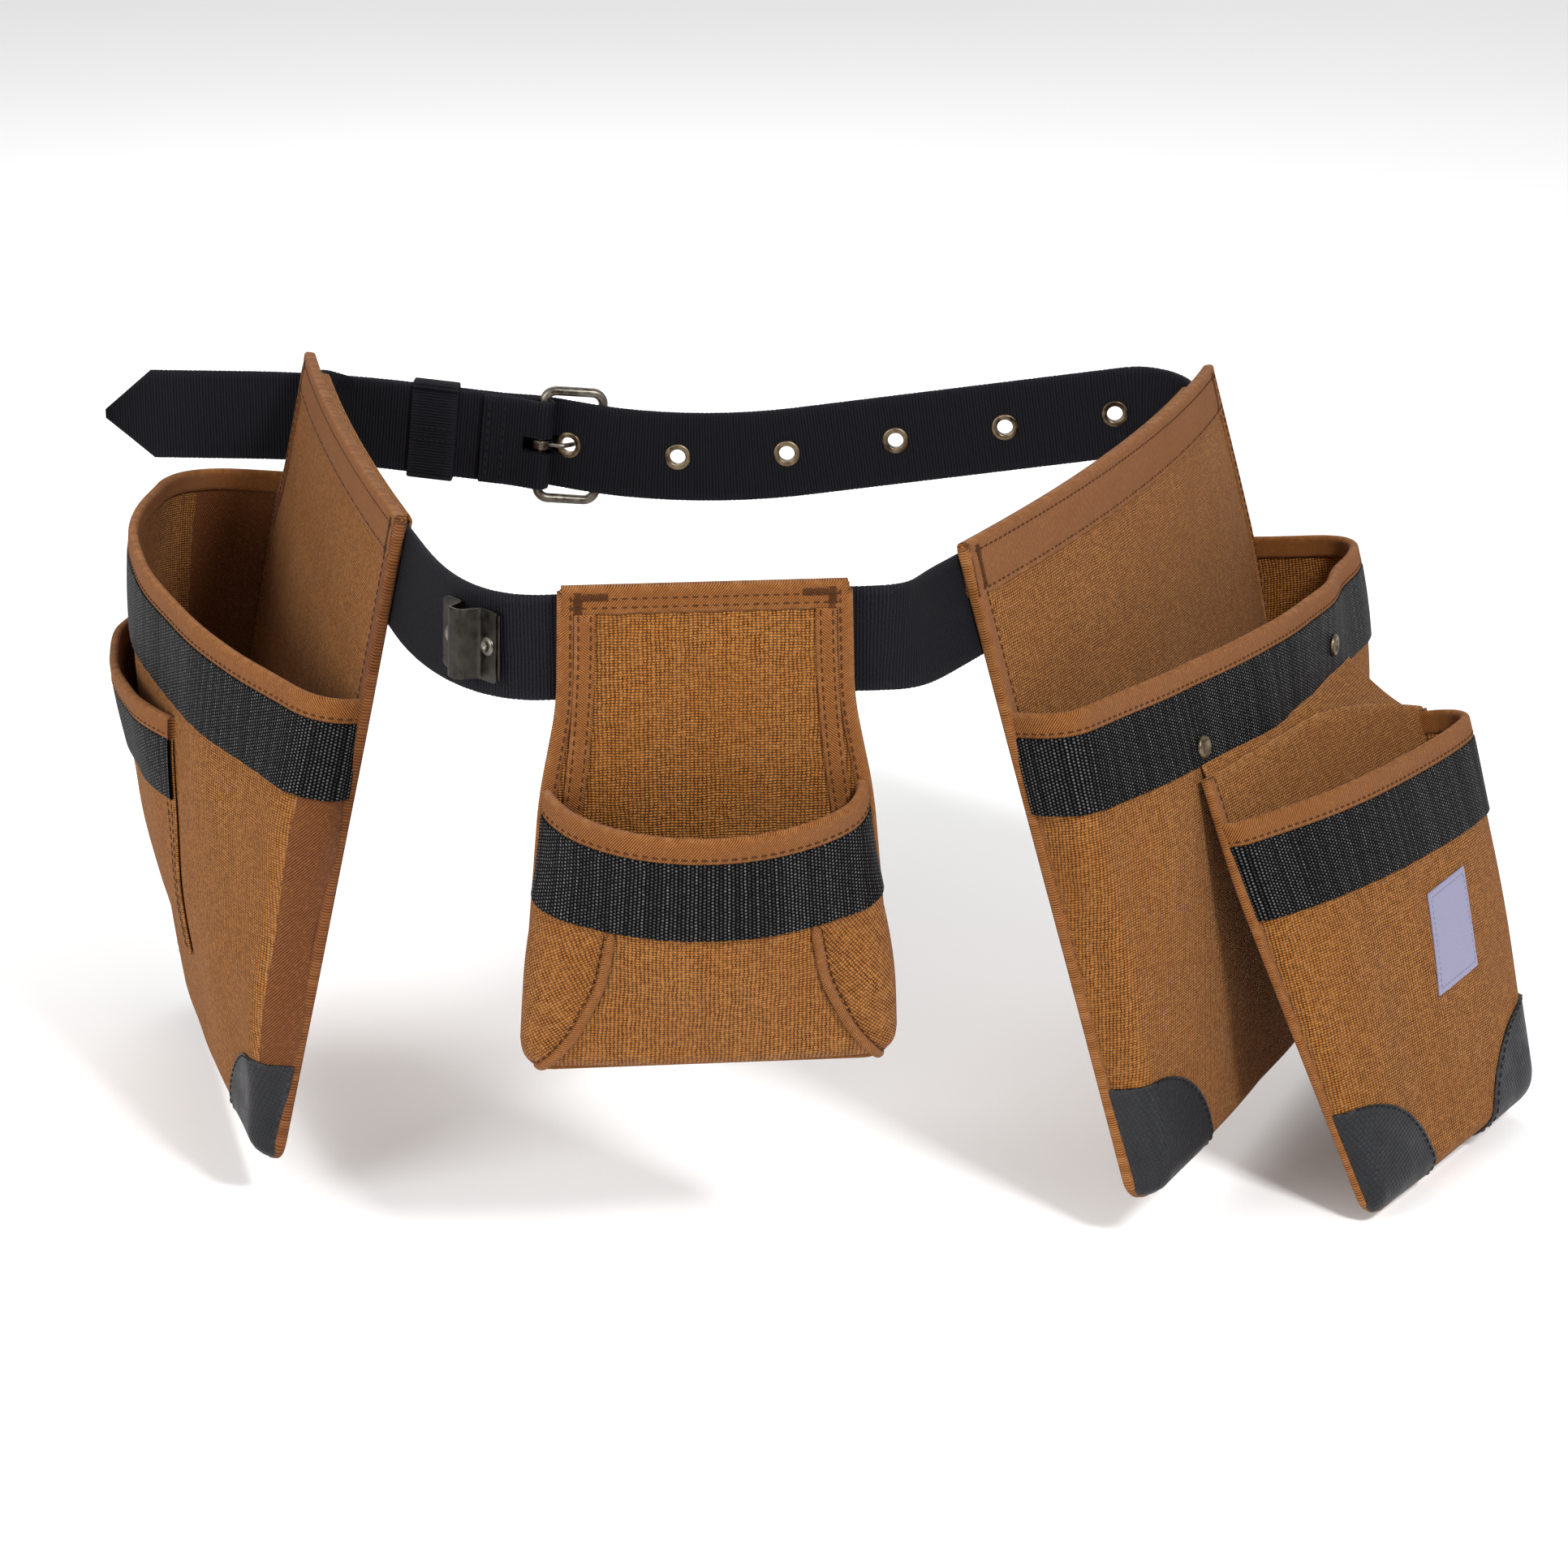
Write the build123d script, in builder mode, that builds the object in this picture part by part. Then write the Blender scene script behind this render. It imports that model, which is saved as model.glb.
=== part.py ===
"""Carpenter's tool belt: a webbing belt with a tongue buckle and canvas pouches.

Frame: +Z up, +Y towards the buckle at the back, +X to the wearer's own pouch pair; the origin is the
middle of the waist loop at belt height. All sizes are in millimetres.
"""
from build123d import *
from math import cos, radians, sin
import os

os.makedirs("parts", exist_ok=True)

# ---- driving sizes -------------------------------------------------------------------------------
WEB_W = 38.0            # belt webbing width, a 1.5 inch webbing
WEB_T = 2.4             # belt webbing thickness
TUNNEL_GAP = 0.7        # room between the belt and whatever slides on it
PANEL_T = 3.0           # doubled canvas of a back panel
CANVAS_T = 1.6          # single canvas of a bag
TRIM_T = 1.2            # binding, band and patch thickness
SLEEVE_T = 1.6          # belt tunnel behind each pouch
RIM_H = 8.0             # height of the binding round a pouch mouth
BAND_H = 29.0           # height of the webbing band under a pouch mouth
TOP_Z = WEB_W / 2 + 3.0 # top edge of every back panel, above the belt's middle
PATCH_R = 47.0          # reach of a corner patch from its corner

EYELET_PITCH = 46.2     # from eyelet to eyelet along the strap
EYELET_COUNT = 6
EYELET_HOLE_R = 3.3
EYELET_BARREL_R = 3.9
EYELET_FLANGE_R = 5.6
EYELET_FLANGE_T = 0.5

BUCKLE_W = 25.0         # between the two upright bars, centre to centre
BUCKLE_H = 47.0         # between the top and bottom bars, centre to centre
BAR_R = 2.0
BUCKLE_LEAN = 12.0      # the free strap pushes the far bar outwards by this angle
TONGUE_R = 1.0
TONGUE_SLOT_H = 6.0     # slot in the folded end that lets the tongue out
TONGUE_SLOT_L = 15.0
TONGUE_SLOT_D = 11.0
RING_W = 4.0            # ring that hangs the tongue on the fixed bar
RING_T = 1.6
FRAME_CORNER_R = 5.0
KEEPER_W = 19.0
KEEPER_T = 1.6


# ---- planes along the belt; x runs along the belt, y points at the waist, z is up ----------------
def level_plane(x, y, z, heading, lean):
    """Plane on the belt's outer face: heading in degrees, lean moves the lower edge outwards."""
    along = Vector(cos(radians(heading)), sin(radians(heading)), 0)
    inward = Vector(-along.Y, along.X, 0)
    up = Vector(0, 0, cos(radians(lean))) + inward * sin(radians(lean))
    return Plane(origin=(x, y, z), x_dir=along, z_dir=up)


def on_arc(middle, radius, reach):
    """Plane on an arc that curves round the waist, at a distance along it from its middle plane."""
    turn = reach / radius
    place = middle.from_local_coords(Vector(radius * sin(turn), radius * (1 - cos(turn)), 0))
    along = middle.from_local_coords(Vector(cos(turn), sin(turn), 0)) - middle.origin
    return Plane(origin=place, x_dir=along, z_dir=middle.z_dir)


def on_sag(low, radius, degrees):
    """Plane on an arc that hangs in the strap's own upright plane, from its lowest plane."""
    turn = radians(degrees)
    place = low.from_local_coords(Vector(radius * sin(turn), 0, radius * (1 - cos(turn))))
    along = low.from_local_coords(Vector(cos(turn), 0, sin(turn))) - low.origin
    up = low.from_local_coords(Vector(-sin(turn), 0, cos(turn))) - low.origin
    return Plane(origin=place, x_dir=along, z_dir=up)


def shifted(plane, along, outward=0.0):
    """The same plane moved along the belt and out from the waist."""
    return Plane(
        origin=plane.from_local_coords(Vector(along, -outward, 0)),
        x_dir=plane.x_dir,
        z_dir=plane.z_dir,
    )


def bend(start, end, reach, count, hold=0):
    """Planes of a smooth bend between two planes, both ends left out; a hold keeps its twist for later."""
    planes = []
    for step in range(1, count):
        t = step / count
        h0 = 2 * t**3 - 3 * t**2 + 1
        h1 = t**3 - 2 * t**2 + t
        h2 = 3 * t**2 - 2 * t**3
        h3 = t**3 - t**2
        place = start.origin * h0 + start.x_dir * (h1 * reach) + end.origin * h2 + end.x_dir * (h3 * reach)
        g0 = 6 * t**2 - 6 * t
        g1 = 3 * t**2 - 4 * t + 1
        g3 = 3 * t**2 - 2 * t
        along = (start.origin - end.origin) * g0 + start.x_dir * (g1 * reach) + end.x_dir * (g3 * reach)
        along = along.normalized()
        twist = h2 * t**hold
        up = start.z_dir * (1 - twist) + end.z_dir * twist
        up = (up - along * up.dot(along)).normalized()
        planes.append(Plane(origin=place, x_dir=along, z_dir=up))
    return planes


# the three pouch seats and the back strap
CENTRE = level_plane(-16, -132.5, 0, 5.3, 0)
RIGHT = level_plane(144, 38, 1.5, 66.3, 14)
RIGHT_R = 800.0
LEFT = level_plane(-163.5, 69, 0.5, -76.3, 12)
LEFT_R = 2000.0
STRAP_LOW = level_plane(-26, 187, -20.5, 176.85, 0)
STRAP_R = 330.0
RUN_SLOPE = 6.0         # the strap climbs to the left rear corner
FALL_SLOPE = 8.0        # and climbs the other way to the right rear corner

FRONT_HALF = 56.0       # half of the straight front stretch
RIGHT_FRONT = -150.0    # the right arc runs between these reaches
RIGHT_REAR = 118.0
LEFT_REAR = -108.0
LEFT_FRONT = 138.0
FALL_LENGTH = 137.0     # straight part of the strap, right of its lowest point
RUN_LENGTH = 112.0      # straight part of the strap, from its lowest arc to the left rear corner

RUN = on_sag(STRAP_LOW, STRAP_R, RUN_SLOPE)
FALL = on_sag(STRAP_LOW, STRAP_R, -FALL_SLOPE)
BAR_RUN = 31.0          # place of the buckle's fixed bar along the run
FOLD_GAP = 0.1          # half the gap between the strap and its folded end
BAR_IN = WEB_T + FOLD_GAP

# buckle plane: origin on the fixed bar, x to the far bar, y outwards, z along the bar
BUCKLE = Plane(
    origin=RUN.from_local_coords(Vector(BAR_RUN, BAR_IN, 0)),
    x_dir=RUN.x_dir * -1,
    z_dir=RUN.z_dir,
)


def strap_at(x, y, slope):
    """Plane of the free strap's outer face at a place in the buckle plane."""
    place = BUCKLE.from_local_coords(Vector(x, y, 0))
    ahead = BUCKLE.from_local_coords(Vector(x - cos(radians(slope)), y + sin(radians(slope)), 0))
    return Plane(origin=place, x_dir=ahead - place, z_dir=BUCKLE.z_dir)


# the free strap slips inside the far bar and outside the folded end
STRAP_IN = strap_at(33.0, BAR_IN, 0)
STRAP_EYE = strap_at(12.0, 5.4, 13)
STRAP_OVER = strap_at(-1.0, 7.6, 3)
TAIL_OUT = WEB_T + 0.6
STRAP_DOWN = strap_at(-19.0, BAR_IN + TAIL_OUT, 0)
TAIL_RUN = 58.0         # straight tail beside the run, through the keeper
TAIL_DROP_R = 640.0
TAIL_FLAT = 44.0        # level part of the tail, up to its point
TAIL_POINT = 17.0

FOLD_TAPER = 14.0       # the fold closes over this length from the bar
FLAP_END = 25.0         # the folded end is sewn down up to here


def belt_planes():
    """Planes of the whole webbing, from the folded end round the waist to the tail."""
    run_start = shifted(RUN, BAR_RUN + FOLD_TAPER)
    run_end = shifted(RUN, RUN_LENGTH)
    left_rear = on_arc(LEFT, LEFT_R, LEFT_REAR)
    left_front = on_arc(LEFT, LEFT_R, LEFT_FRONT)
    front_left = shifted(CENTRE, -FRONT_HALF)
    front_right = shifted(CENTRE, FRONT_HALF)
    right_front = on_arc(RIGHT, RIGHT_R, RIGHT_FRONT)
    right_rear = on_arc(RIGHT, RIGHT_R, RIGHT_REAR)
    fall_end = shifted(FALL, -FALL_LENGTH)
    planes = [run_start, run_end]
    planes += bend(run_end, left_rear, 36, 9)
    planes += [on_arc(LEFT, LEFT_R, LEFT_REAR + (LEFT_FRONT - LEFT_REAR) * i / 5) for i in range(6)]
    planes += bend(left_front, front_left, 88, 12)
    planes += [front_left, front_right]
    planes += bend(front_right, right_front, 60, 9)
    planes += [on_arc(RIGHT, RIGHT_R, RIGHT_FRONT + (RIGHT_REAR - RIGHT_FRONT) * i / 10) for i in range(11)]
    planes += bend(right_rear, fall_end, 44, 9, hold=1)
    planes += [fall_end]
    planes += [on_sag(STRAP_LOW, STRAP_R, -FALL_SLOPE + (FALL_SLOPE + RUN_SLOPE) * i / 5) for i in range(5)]
    return planes


def tail_planes():
    """Planes of the free end, through the buckle to the level tail."""
    tail_low = shifted(RUN, BAR_RUN + TAIL_RUN, TAIL_OUT)
    planes = [STRAP_IN]
    planes += bend(STRAP_IN, STRAP_EYE, 21, 4)
    planes += [STRAP_EYE]
    planes += bend(STRAP_EYE, STRAP_OVER, 13, 3)
    planes += [STRAP_OVER]
    planes += bend(STRAP_OVER, STRAP_DOWN, 18, 4)
    planes += [STRAP_DOWN]
    centre = tail_low.from_local_coords(Vector(0, 0, -TAIL_DROP_R))
    for step in range(6):
        turn = radians(RUN_SLOPE) * step / 5
        along = tail_low.x_dir * cos(turn) - tail_low.z_dir * sin(turn)
        up = tail_low.z_dir * cos(turn) + tail_low.x_dir * sin(turn)
        planes.append(Plane(origin=centre + up * TAIL_DROP_R, x_dir=along, z_dir=up))
    return planes


def web_section(plane, width=WEB_W):
    """Cross-section of the webbing across the belt at a plane."""
    across = Plane(origin=plane.origin, x_dir=plane.y_dir, z_dir=plane.x_dir)
    with BuildSketch(across) as section:
        with Locations((WEB_T / 2, 0)):
            Rectangle(WEB_T, width)
    return section.sketch.faces()[0]


def strap_place(reach):
    """Plane on the back strap at a reach from the buckle's eyelet towards the right rear corner."""
    if reach == 0:
        return STRAP_EYE
    from_low = BAR_RUN - 12.0 - reach
    if from_low > 0:
        return shifted(RUN, from_low)
    arc = radians(FALL_SLOPE + RUN_SLOPE) * STRAP_R
    if -from_low < arc:
        return on_sag(STRAP_LOW, STRAP_R, RUN_SLOPE + from_low / radians(1) / STRAP_R)
    return shifted(FALL, from_low + arc)


EYELETS = [strap_place(i * EYELET_PITCH) for i in range(EYELET_COUNT)]
CLIP = bend(on_arc(LEFT, LEFT_R, LEFT_FRONT), shifted(CENTRE, -FRONT_HALF), 88, 12)[7]
CLIP_W = 30.0
CLIP_H = 26.0
CLIP_T = 1.5
CLIP_GAP = 7.0
CLIP_FLANGE = 10.0
CLIP_RIVET_R = 1.8
CLIP_HEAD_R = 3.6

# ---- belt ----------------------------------------------------------------------------------------
with BuildPart() as belt_webbing:
    loop_sections = [web_section(p) for p in belt_planes() + tail_planes()]
    tail_end = shifted(tail_planes()[-1], TAIL_FLAT)
    loop_sections.append(web_section(tail_end))
    loop_sections.append(web_section(shifted(tail_end, TAIL_POINT), 2.0))
    loft(sections=loop_sections, ruled=True)
    with BuildSketch(BUCKLE.offset(-WEB_W / 2)) as fold_shape:
        Circle(BAR_IN + 2.3)
        with Locations((-FOLD_TAPER, 0)):
            Rectangle(0.4, 2 * BAR_IN)
        make_hull()
    extrude(amount=WEB_W)
    with BuildSketch(BUCKLE.offset(-WEB_W / 2)) as flap_shape:
        with Locations(((-FOLD_TAPER - FLAP_END) / 2, -(BAR_IN + FOLD_GAP) / 2)):
            Rectangle(FLAP_END - FOLD_TAPER, WEB_T)
    extrude(amount=WEB_W)
    with BuildSketch(BUCKLE.offset(-WEB_W / 2)) as fold_room:
        Circle(BAR_R + 0.4)
        with Locations((-FOLD_TAPER, 0)):
            Rectangle(0.4, 2 * FOLD_GAP)
        make_hull()
    extrude(amount=WEB_W, mode=Mode.SUBTRACT)
    with BuildSketch(BUCKLE.offset(-TONGUE_SLOT_H / 2)) as tongue_slot:
        Rectangle(TONGUE_SLOT_L, TONGUE_SLOT_D)
    extrude(amount=TONGUE_SLOT_H, mode=Mode.SUBTRACT)
    for place in EYELETS:
        hole_plane = Plane(origin=place.origin, x_dir=place.x_dir, z_dir=place.y_dir)
        with BuildSketch(hole_plane) as eyelet_hole:
            Circle(EYELET_BARREL_R)
        extrude(amount=WEB_T + 1, both=True, mode=Mode.SUBTRACT)
        with BuildSketch(hole_plane.offset(-1), hole_plane.offset(WEB_T)) as flange_room:
            Circle(EYELET_FLANGE_R + 0.1)
        extrude(amount=1, mode=Mode.SUBTRACT)
    with BuildSketch(Plane(origin=CLIP.origin, x_dir=CLIP.x_dir, z_dir=CLIP.y_dir)) as clip_holes:
        with GridLocations(CLIP_W - CLIP_FLANGE, 1, 2, 1):
            Circle(CLIP_RIVET_R)
    extrude(amount=WEB_T + 3, both=True, mode=Mode.SUBTRACT)
belt_webbing.part.label = "belt_webbing"
export_step(belt_webbing.part, "parts/belt_webbing.step")

with BuildPart() as eyelet_grommets:
    for place in EYELETS:
        axis_plane = Plane(origin=place.origin, x_dir=place.x_dir, z_dir=place.y_dir * -1)
        with BuildSketch(axis_plane.offset(-WEB_T - EYELET_FLANGE_T)) as barrel:
            Circle(EYELET_BARREL_R)
            Circle(EYELET_HOLE_R, mode=Mode.SUBTRACT)
        extrude(amount=WEB_T + 2 * EYELET_FLANGE_T)
        with BuildSketch(axis_plane) as outer_flange:
            Circle(EYELET_FLANGE_R)
            Circle(EYELET_HOLE_R, mode=Mode.SUBTRACT)
        extrude(amount=EYELET_FLANGE_T)
eyelet_grommets.part.label = "eyelet_grommets"
export_step(eyelet_grommets.part, "parts/eyelet_grommets.step")

with BuildPart() as eyelet_washers:
    for place in EYELETS:
        axis_plane = Plane(origin=place.origin, x_dir=place.x_dir, z_dir=place.y_dir * -1)
        with BuildSketch(axis_plane.offset(-WEB_T - EYELET_FLANGE_T)) as washer:
            Circle(EYELET_FLANGE_R)
            Circle(EYELET_BARREL_R, mode=Mode.SUBTRACT)
        extrude(amount=EYELET_FLANGE_T)
eyelet_washers.part.label = "eyelet_washers"
export_step(eyelet_washers.part, "parts/eyelet_washers.step")

# ---- buckle --------------------------------------------------------------------------------------
FRAME_PLANE = Plane(
    origin=BUCKLE.origin,
    x_dir=BUCKLE.from_local_coords(Vector(cos(radians(BUCKLE_LEAN)), sin(radians(BUCKLE_LEAN)), 0))
    - BUCKLE.origin,
    z_dir=BUCKLE.z_dir,
)
with BuildPart() as buckle_frame:
    flat = Plane(origin=FRAME_PLANE.origin, x_dir=FRAME_PLANE.x_dir, z_dir=FRAME_PLANE.y_dir)
    with BuildLine(flat) as frame_path:
        corners = [(BUCKLE_W, BUCKLE_H / 2), (0, BUCKLE_H / 2), (0, -BUCKLE_H / 2), (BUCKLE_W, -BUCKLE_H / 2)]
        FilletPolyline(*corners, radius=FRAME_CORNER_R, close=True)
    bar_path = frame_path.wires()[0]
    with BuildSketch(Plane(origin=bar_path @ 0, z_dir=bar_path % 0)) as bar_round:
        Circle(BAR_R)
    sweep(path=bar_path)
buckle_frame.part.label = "buckle_frame"
export_step(buckle_frame.part, "parts/buckle_frame.step")

with BuildPart() as buckle_tongue:
    with BuildSketch(BUCKLE.offset(-RING_W / 2)) as tongue_ring:
        Circle(BAR_R + RING_T)
        Circle(BAR_R + 0.12, mode=Mode.SUBTRACT)
    extrude(amount=RING_W)
    with BuildLine(BUCKLE) as prong_path:
        FilletPolyline((2.9, 0.2), (9.2, 0.6), (14.5, 7.4), (27.3, 8.8), radius=2.0)
    prong_wire = prong_path.wires()[0]
    with BuildSketch(Plane(origin=prong_wire @ 0, z_dir=prong_wire % 0)) as prong_round:
        Circle(TONGUE_R)
    sweep(path=prong_wire)
buckle_tongue.part.label = "buckle_tongue"
export_step(buckle_tongue.part, "parts/buckle_tongue.step")

# ---- keeper: a webbing loop round the strap and the tail ------------------------------------------
KEEPER = shifted(RUN, BAR_RUN + FOLD_TAPER + 32.0)
KEEPER_ROOM = 0.5
with BuildPart() as keeper_loop:
    across = Plane(origin=KEEPER.origin, x_dir=KEEPER.y_dir, z_dir=KEEPER.x_dir)
    room_t = WEB_T + TAIL_OUT + 2 * KEEPER_ROOM
    with BuildSketch(across) as keeper_ring:
        with Locations(((WEB_T - TAIL_OUT) / 2, 0)):
            RectangleRounded(room_t + 2 * KEEPER_T, WEB_W + 1.0 + 2 * KEEPER_T, 1.5)
            Rectangle(room_t, WEB_W + 1.0, mode=Mode.SUBTRACT)
    extrude(amount=KEEPER_W / 2, both=True)
keeper_loop.part.label = "keeper_loop"
export_step(keeper_loop.part, "parts/keeper_loop.step")

# ---- tape clip: a bent plate riveted to the belt, with a raised bridge ----------------------------
CLIP_SEAT_PLANE = Plane(
    origin=CLIP.from_local_coords(Vector(0, -0.05, 0)), x_dir=CLIP.x_dir, z_dir=CLIP.z_dir
)
with BuildPart() as tape_clip:
    with BuildSketch(CLIP_SEAT_PLANE.offset(-CLIP_H / 2)) as clip_profile:
        with BuildLine() as clip_line:
            half = CLIP_W / 2
            rise = CLIP_GAP + CLIP_T
            FilletPolyline(
                (-half, -CLIP_T / 2),
                (-half + CLIP_FLANGE, -CLIP_T / 2),
                (-half + CLIP_FLANGE + 2.0, -rise),
                (half - CLIP_FLANGE - 2.0, -rise),
                (half - CLIP_FLANGE, -CLIP_T / 2),
                (half, -CLIP_T / 2),
                radius=1.6,
            )
        trace(line_width=CLIP_T)
    extrude(amount=CLIP_H)
    flange_x = CLIP_W / 2 - CLIP_FLANGE / 2
    with BuildSketch(Plane(origin=CLIP.origin, x_dir=CLIP.x_dir, z_dir=CLIP.y_dir * -1)) as rivet_holes:
        with Locations((-flange_x, 0), (flange_x, 0)):
            Circle(CLIP_RIVET_R)
    extrude(amount=CLIP_T + 0.5, mode=Mode.SUBTRACT)
tape_clip.part.label = "tape_clip"
export_step(tape_clip.part, "parts/tape_clip.step")

with BuildPart() as clip_rivets:
    outward = Plane(origin=CLIP.origin, x_dir=CLIP.x_dir, z_dir=CLIP.y_dir * -1)
    for reach in (-flange_x, flange_x):
        with BuildSketch(outward.offset(-WEB_T - 1.6)) as rivet_shank:
            with Locations((reach, 0)):
                Circle(CLIP_RIVET_R)
        extrude(amount=WEB_T + 1.6 + CLIP_T + 0.05)
        with BuildSketch(outward.offset(CLIP_T + 0.05)) as rivet_head:
            with Locations((reach, 0)):
                Circle(CLIP_HEAD_R)
        extrude(amount=1.0)
clip_rivets.part.label = "clip_rivets"
export_step(clip_rivets.part, "parts/clip_rivets.step")


# ---- pouches -------------------------------------------------------------------------------------
class Pouch:
    """A pouch on a seat; a reach is counted towards the back, an out is counted from the waist."""

    def __init__(self, seat, radius, rear, levels, rim_z, rim_rise, rim_droop):
        self.seat = seat
        self.radius = radius
        self.rear = rear
        self.levels = levels
        self.rim_z = rim_z
        self.rim_rise = rim_rise
        self.rim_droop = rim_droop


def face_plane(pouch):
    """Plane for outlines seen square on: x is the reach on the seat, y is up, z is out."""
    seat = pouch.seat
    return Plane(origin=seat.origin, x_dir=seat.x_dir, z_dir=seat.y_dir * -1)


def layer(pouch, near, far):
    """Everything between two distances out from the belt's outer face."""
    with BuildPart() as region:
        with BuildSketch(pouch.seat.offset(-320)) as ring:
            if pouch.radius:
                with Locations((0, pouch.radius)):
                    Circle(pouch.radius + far)
                    Circle(pouch.radius + near, mode=Mode.SUBTRACT)
            else:
                with Locations((0, -(near + far) / 2)):
                    Rectangle(500, far - near)
        extrude(amount=420)
    return region.part


def prism(pouch, points):
    """Outline of a flat piece, as thick as the whole pouch."""
    with BuildPart() as block:
        with BuildSketch(face_plane(pouch)) as shape:
            with BuildLine() as edge:
                Polyline(*[(pouch.rear * reach, height) for reach, height in points], close=True)
            make_face()
        extrude(amount=130, both=True)
    return block.part


def bag_form(pouch, grow):
    """Filled shape of the bag, made larger or smaller by a wall's thickness."""
    with BuildPart() as form:
        for height, front, back, out_front, out_back, bulge, corner in pouch.levels:
            with BuildSketch(pouch.seat.offset(height)) as level:
                start = pouch.rear * (front - grow)
                finish = pouch.rear * (back + grow)
                crown = -(out_front + out_back) / 2 - bulge - grow
                with BuildLine() as edge:
                    Line((start, 20), (start, -out_front - grow))
                    ThreePointArc(
                        (start, -out_front - grow), ((start + finish) / 2, crown), (finish, -out_back - grow)
                    )
                    Line((finish, -out_back - grow), (finish, 20))
                    Line((finish, 20), (start, 20))
                make_face()
                fillet(level.vertices().sort_by(Axis.Y)[0:2], radius=corner + grow)
        loft(ruled=True)
    return form.part


def below_rim(pouch, drop, height):
    """A slanted slice of space that starts a drop below the mouth and is as thick as height."""
    slope = Vector(-pouch.rim_rise * pouch.rear, -pouch.rim_droop, 1)
    normal = pouch.seat.from_local_coords(slope) - pouch.seat.origin
    top = Plane(
        origin=pouch.seat.from_local_coords(Vector(0, 0, pouch.rim_z - drop)),
        x_dir=pouch.seat.x_dir,
        z_dir=normal,
    )
    with BuildPart() as slice_block:
        with BuildSketch(Plane(origin=top.origin, z_dir=top.z_dir)) as slice_face:
            Rectangle(700, 700)
        extrude(amount=-height)
    return slice_block.part


# each level: height, front reach, rear reach, out at the front, out at the rear, bulge, corner radius
RIGHT_POUCH = Pouch(
    RIGHT, RIGHT_R, 1,
    [
        (-25.0, -133.0, 160.0, 14.0, 34.0, 24.0, 9.0),
        (-62.0, -133.0, 161.0, 14.0, 34.0, 23.0, 9.0),
        (-150.0, -127.0, 146.0, 12.0, 26.0, 17.0, 7.0),
        (-238.0, -120.0, 112.0, 8.0, 13.0, 4.0, 4.0),
    ],
    rim_z=-51.0, rim_rise=-0.045, rim_droop=0.1,
)
LEFT_POUCH = Pouch(
    LEFT, LEFT_R, -1,
    [
        (-20.0, -125.0, 148.0, 17.0, 42.0, 41.0, 12.0),
        (-62.0, -124.0, 148.0, 17.0, 40.0, 38.0, 12.0),
        (-150.0, -121.0, 138.0, 17.0, 29.0, 22.0, 9.0),
        (-238.0, -116.0, 110.0, 9.0, 13.0, 5.0, 4.0),
    ],
    rim_z=-44.0, rim_rise=0.05, rim_droop=0.08,
)
CENTRE_POUCH = Pouch(
    CENTRE, None, 1,
    [
        (-40.0, -56.0, 56.0, 10.0, 10.0, 34.0, 7.0),
        (-62.0, -57.0, 57.0, 11.0, 11.0, 33.0, 7.0),
        (-105.0, -62.0, 62.0, 15.0, 15.0, 22.0, 8.0),
        (-154.0, -66.0, 66.0, 14.0, 14.0, 7.0, 6.0),
    ],
    rim_z=-51.0, rim_rise=0.0, rim_droop=0.15,
)

# the outer pouch hangs from the right pouch's band; it faces further forwards and leans further out
OUTER_HINGE = RIGHT.from_local_coords(Vector(14.9, -48.9, -95.8))
OUTER_HEADING = 56.0
OUTER_LEAN = 22.0
OUTER_SEAT = level_plane(OUTER_HINGE.X, OUTER_HINGE.Y, OUTER_HINGE.Z, OUTER_HEADING, OUTER_LEAN)
OUTER_PANEL_T = 2.4
OUTER_POUCH = Pouch(
    OUTER_SEAT, None, 1,
    [
        (-5.0, -86.0, 84.0, 8.0, 24.0, 14.0, 5.0),
        (-45.0, -84.0, 80.0, 8.0, 24.0, 14.0, 5.0),
        (-110.0, -77.0, 70.0, 9.0, 21.0, 11.0, 5.0),
        (-182.0, -68.0, 58.0, 8.0, 14.0, 4.0, 4.0),
    ],
    rim_z=-22.0, rim_rise=-0.02, rim_droop=0.17,
)

PANEL_OUT = TUNNEL_GAP + PANEL_T
PANEL_OUTLINES = {
    "right": [(-139, TOP_Z), (146, TOP_Z), (156, -20), (163, -55), (148, -150), (113, -240), (-121, -240),
              (-127, -150), (-134, -55)],
    "left": [(-127, TOP_Z), (127, TOP_Z), (131, -31), (150, -52), (140, -150), (111, -240), (-117, -240),
             (-122, -150), (-126, -55)],
    "centre": [(-50, TOP_Z), (50, TOP_Z), (51, -20), (58, -55), (67, -156), (-67, -156), (-58, -55),
               (-51, -20)],
}
SLEEVE_REACH = {"right": (-125, 112), "left": (-116, 98), "centre": (-46, 46)}
POUCHES = {"right": RIGHT_POUCH, "left": LEFT_POUCH, "centre": CENTRE_POUCH}


def back_panel(pouch, points, near, far):
    """Flat or gently curved panel that carries a bag."""
    with BuildPart() as panel:
        add(prism(pouch, points))
        add(layer(pouch, near, far), mode=Mode.INTERSECT)
    return panel.part


def bag_shell(pouch, panel_out):
    """Front, sides and bottom of a bag as one open shell against its back panel."""
    floor = pouch.levels[-1][0] + CANVAS_T
    with BuildPart() as shell:
        add(bag_form(pouch, 0))
        add(bag_form(pouch, -CANVAS_T), mode=Mode.SUBTRACT)
        with BuildSketch(pouch.seat.offset(floor)) as floor_face:
            Rectangle(600, 400)
        extrude(amount=-CANVAS_T, mode=Mode.ADD)
        add(bag_form(pouch, 0), mode=Mode.INTERSECT)
        add(layer(pouch, -60, panel_out), mode=Mode.SUBTRACT)
        add(below_rim(pouch, 0, -200), mode=Mode.SUBTRACT)
    return shell.part


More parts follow.
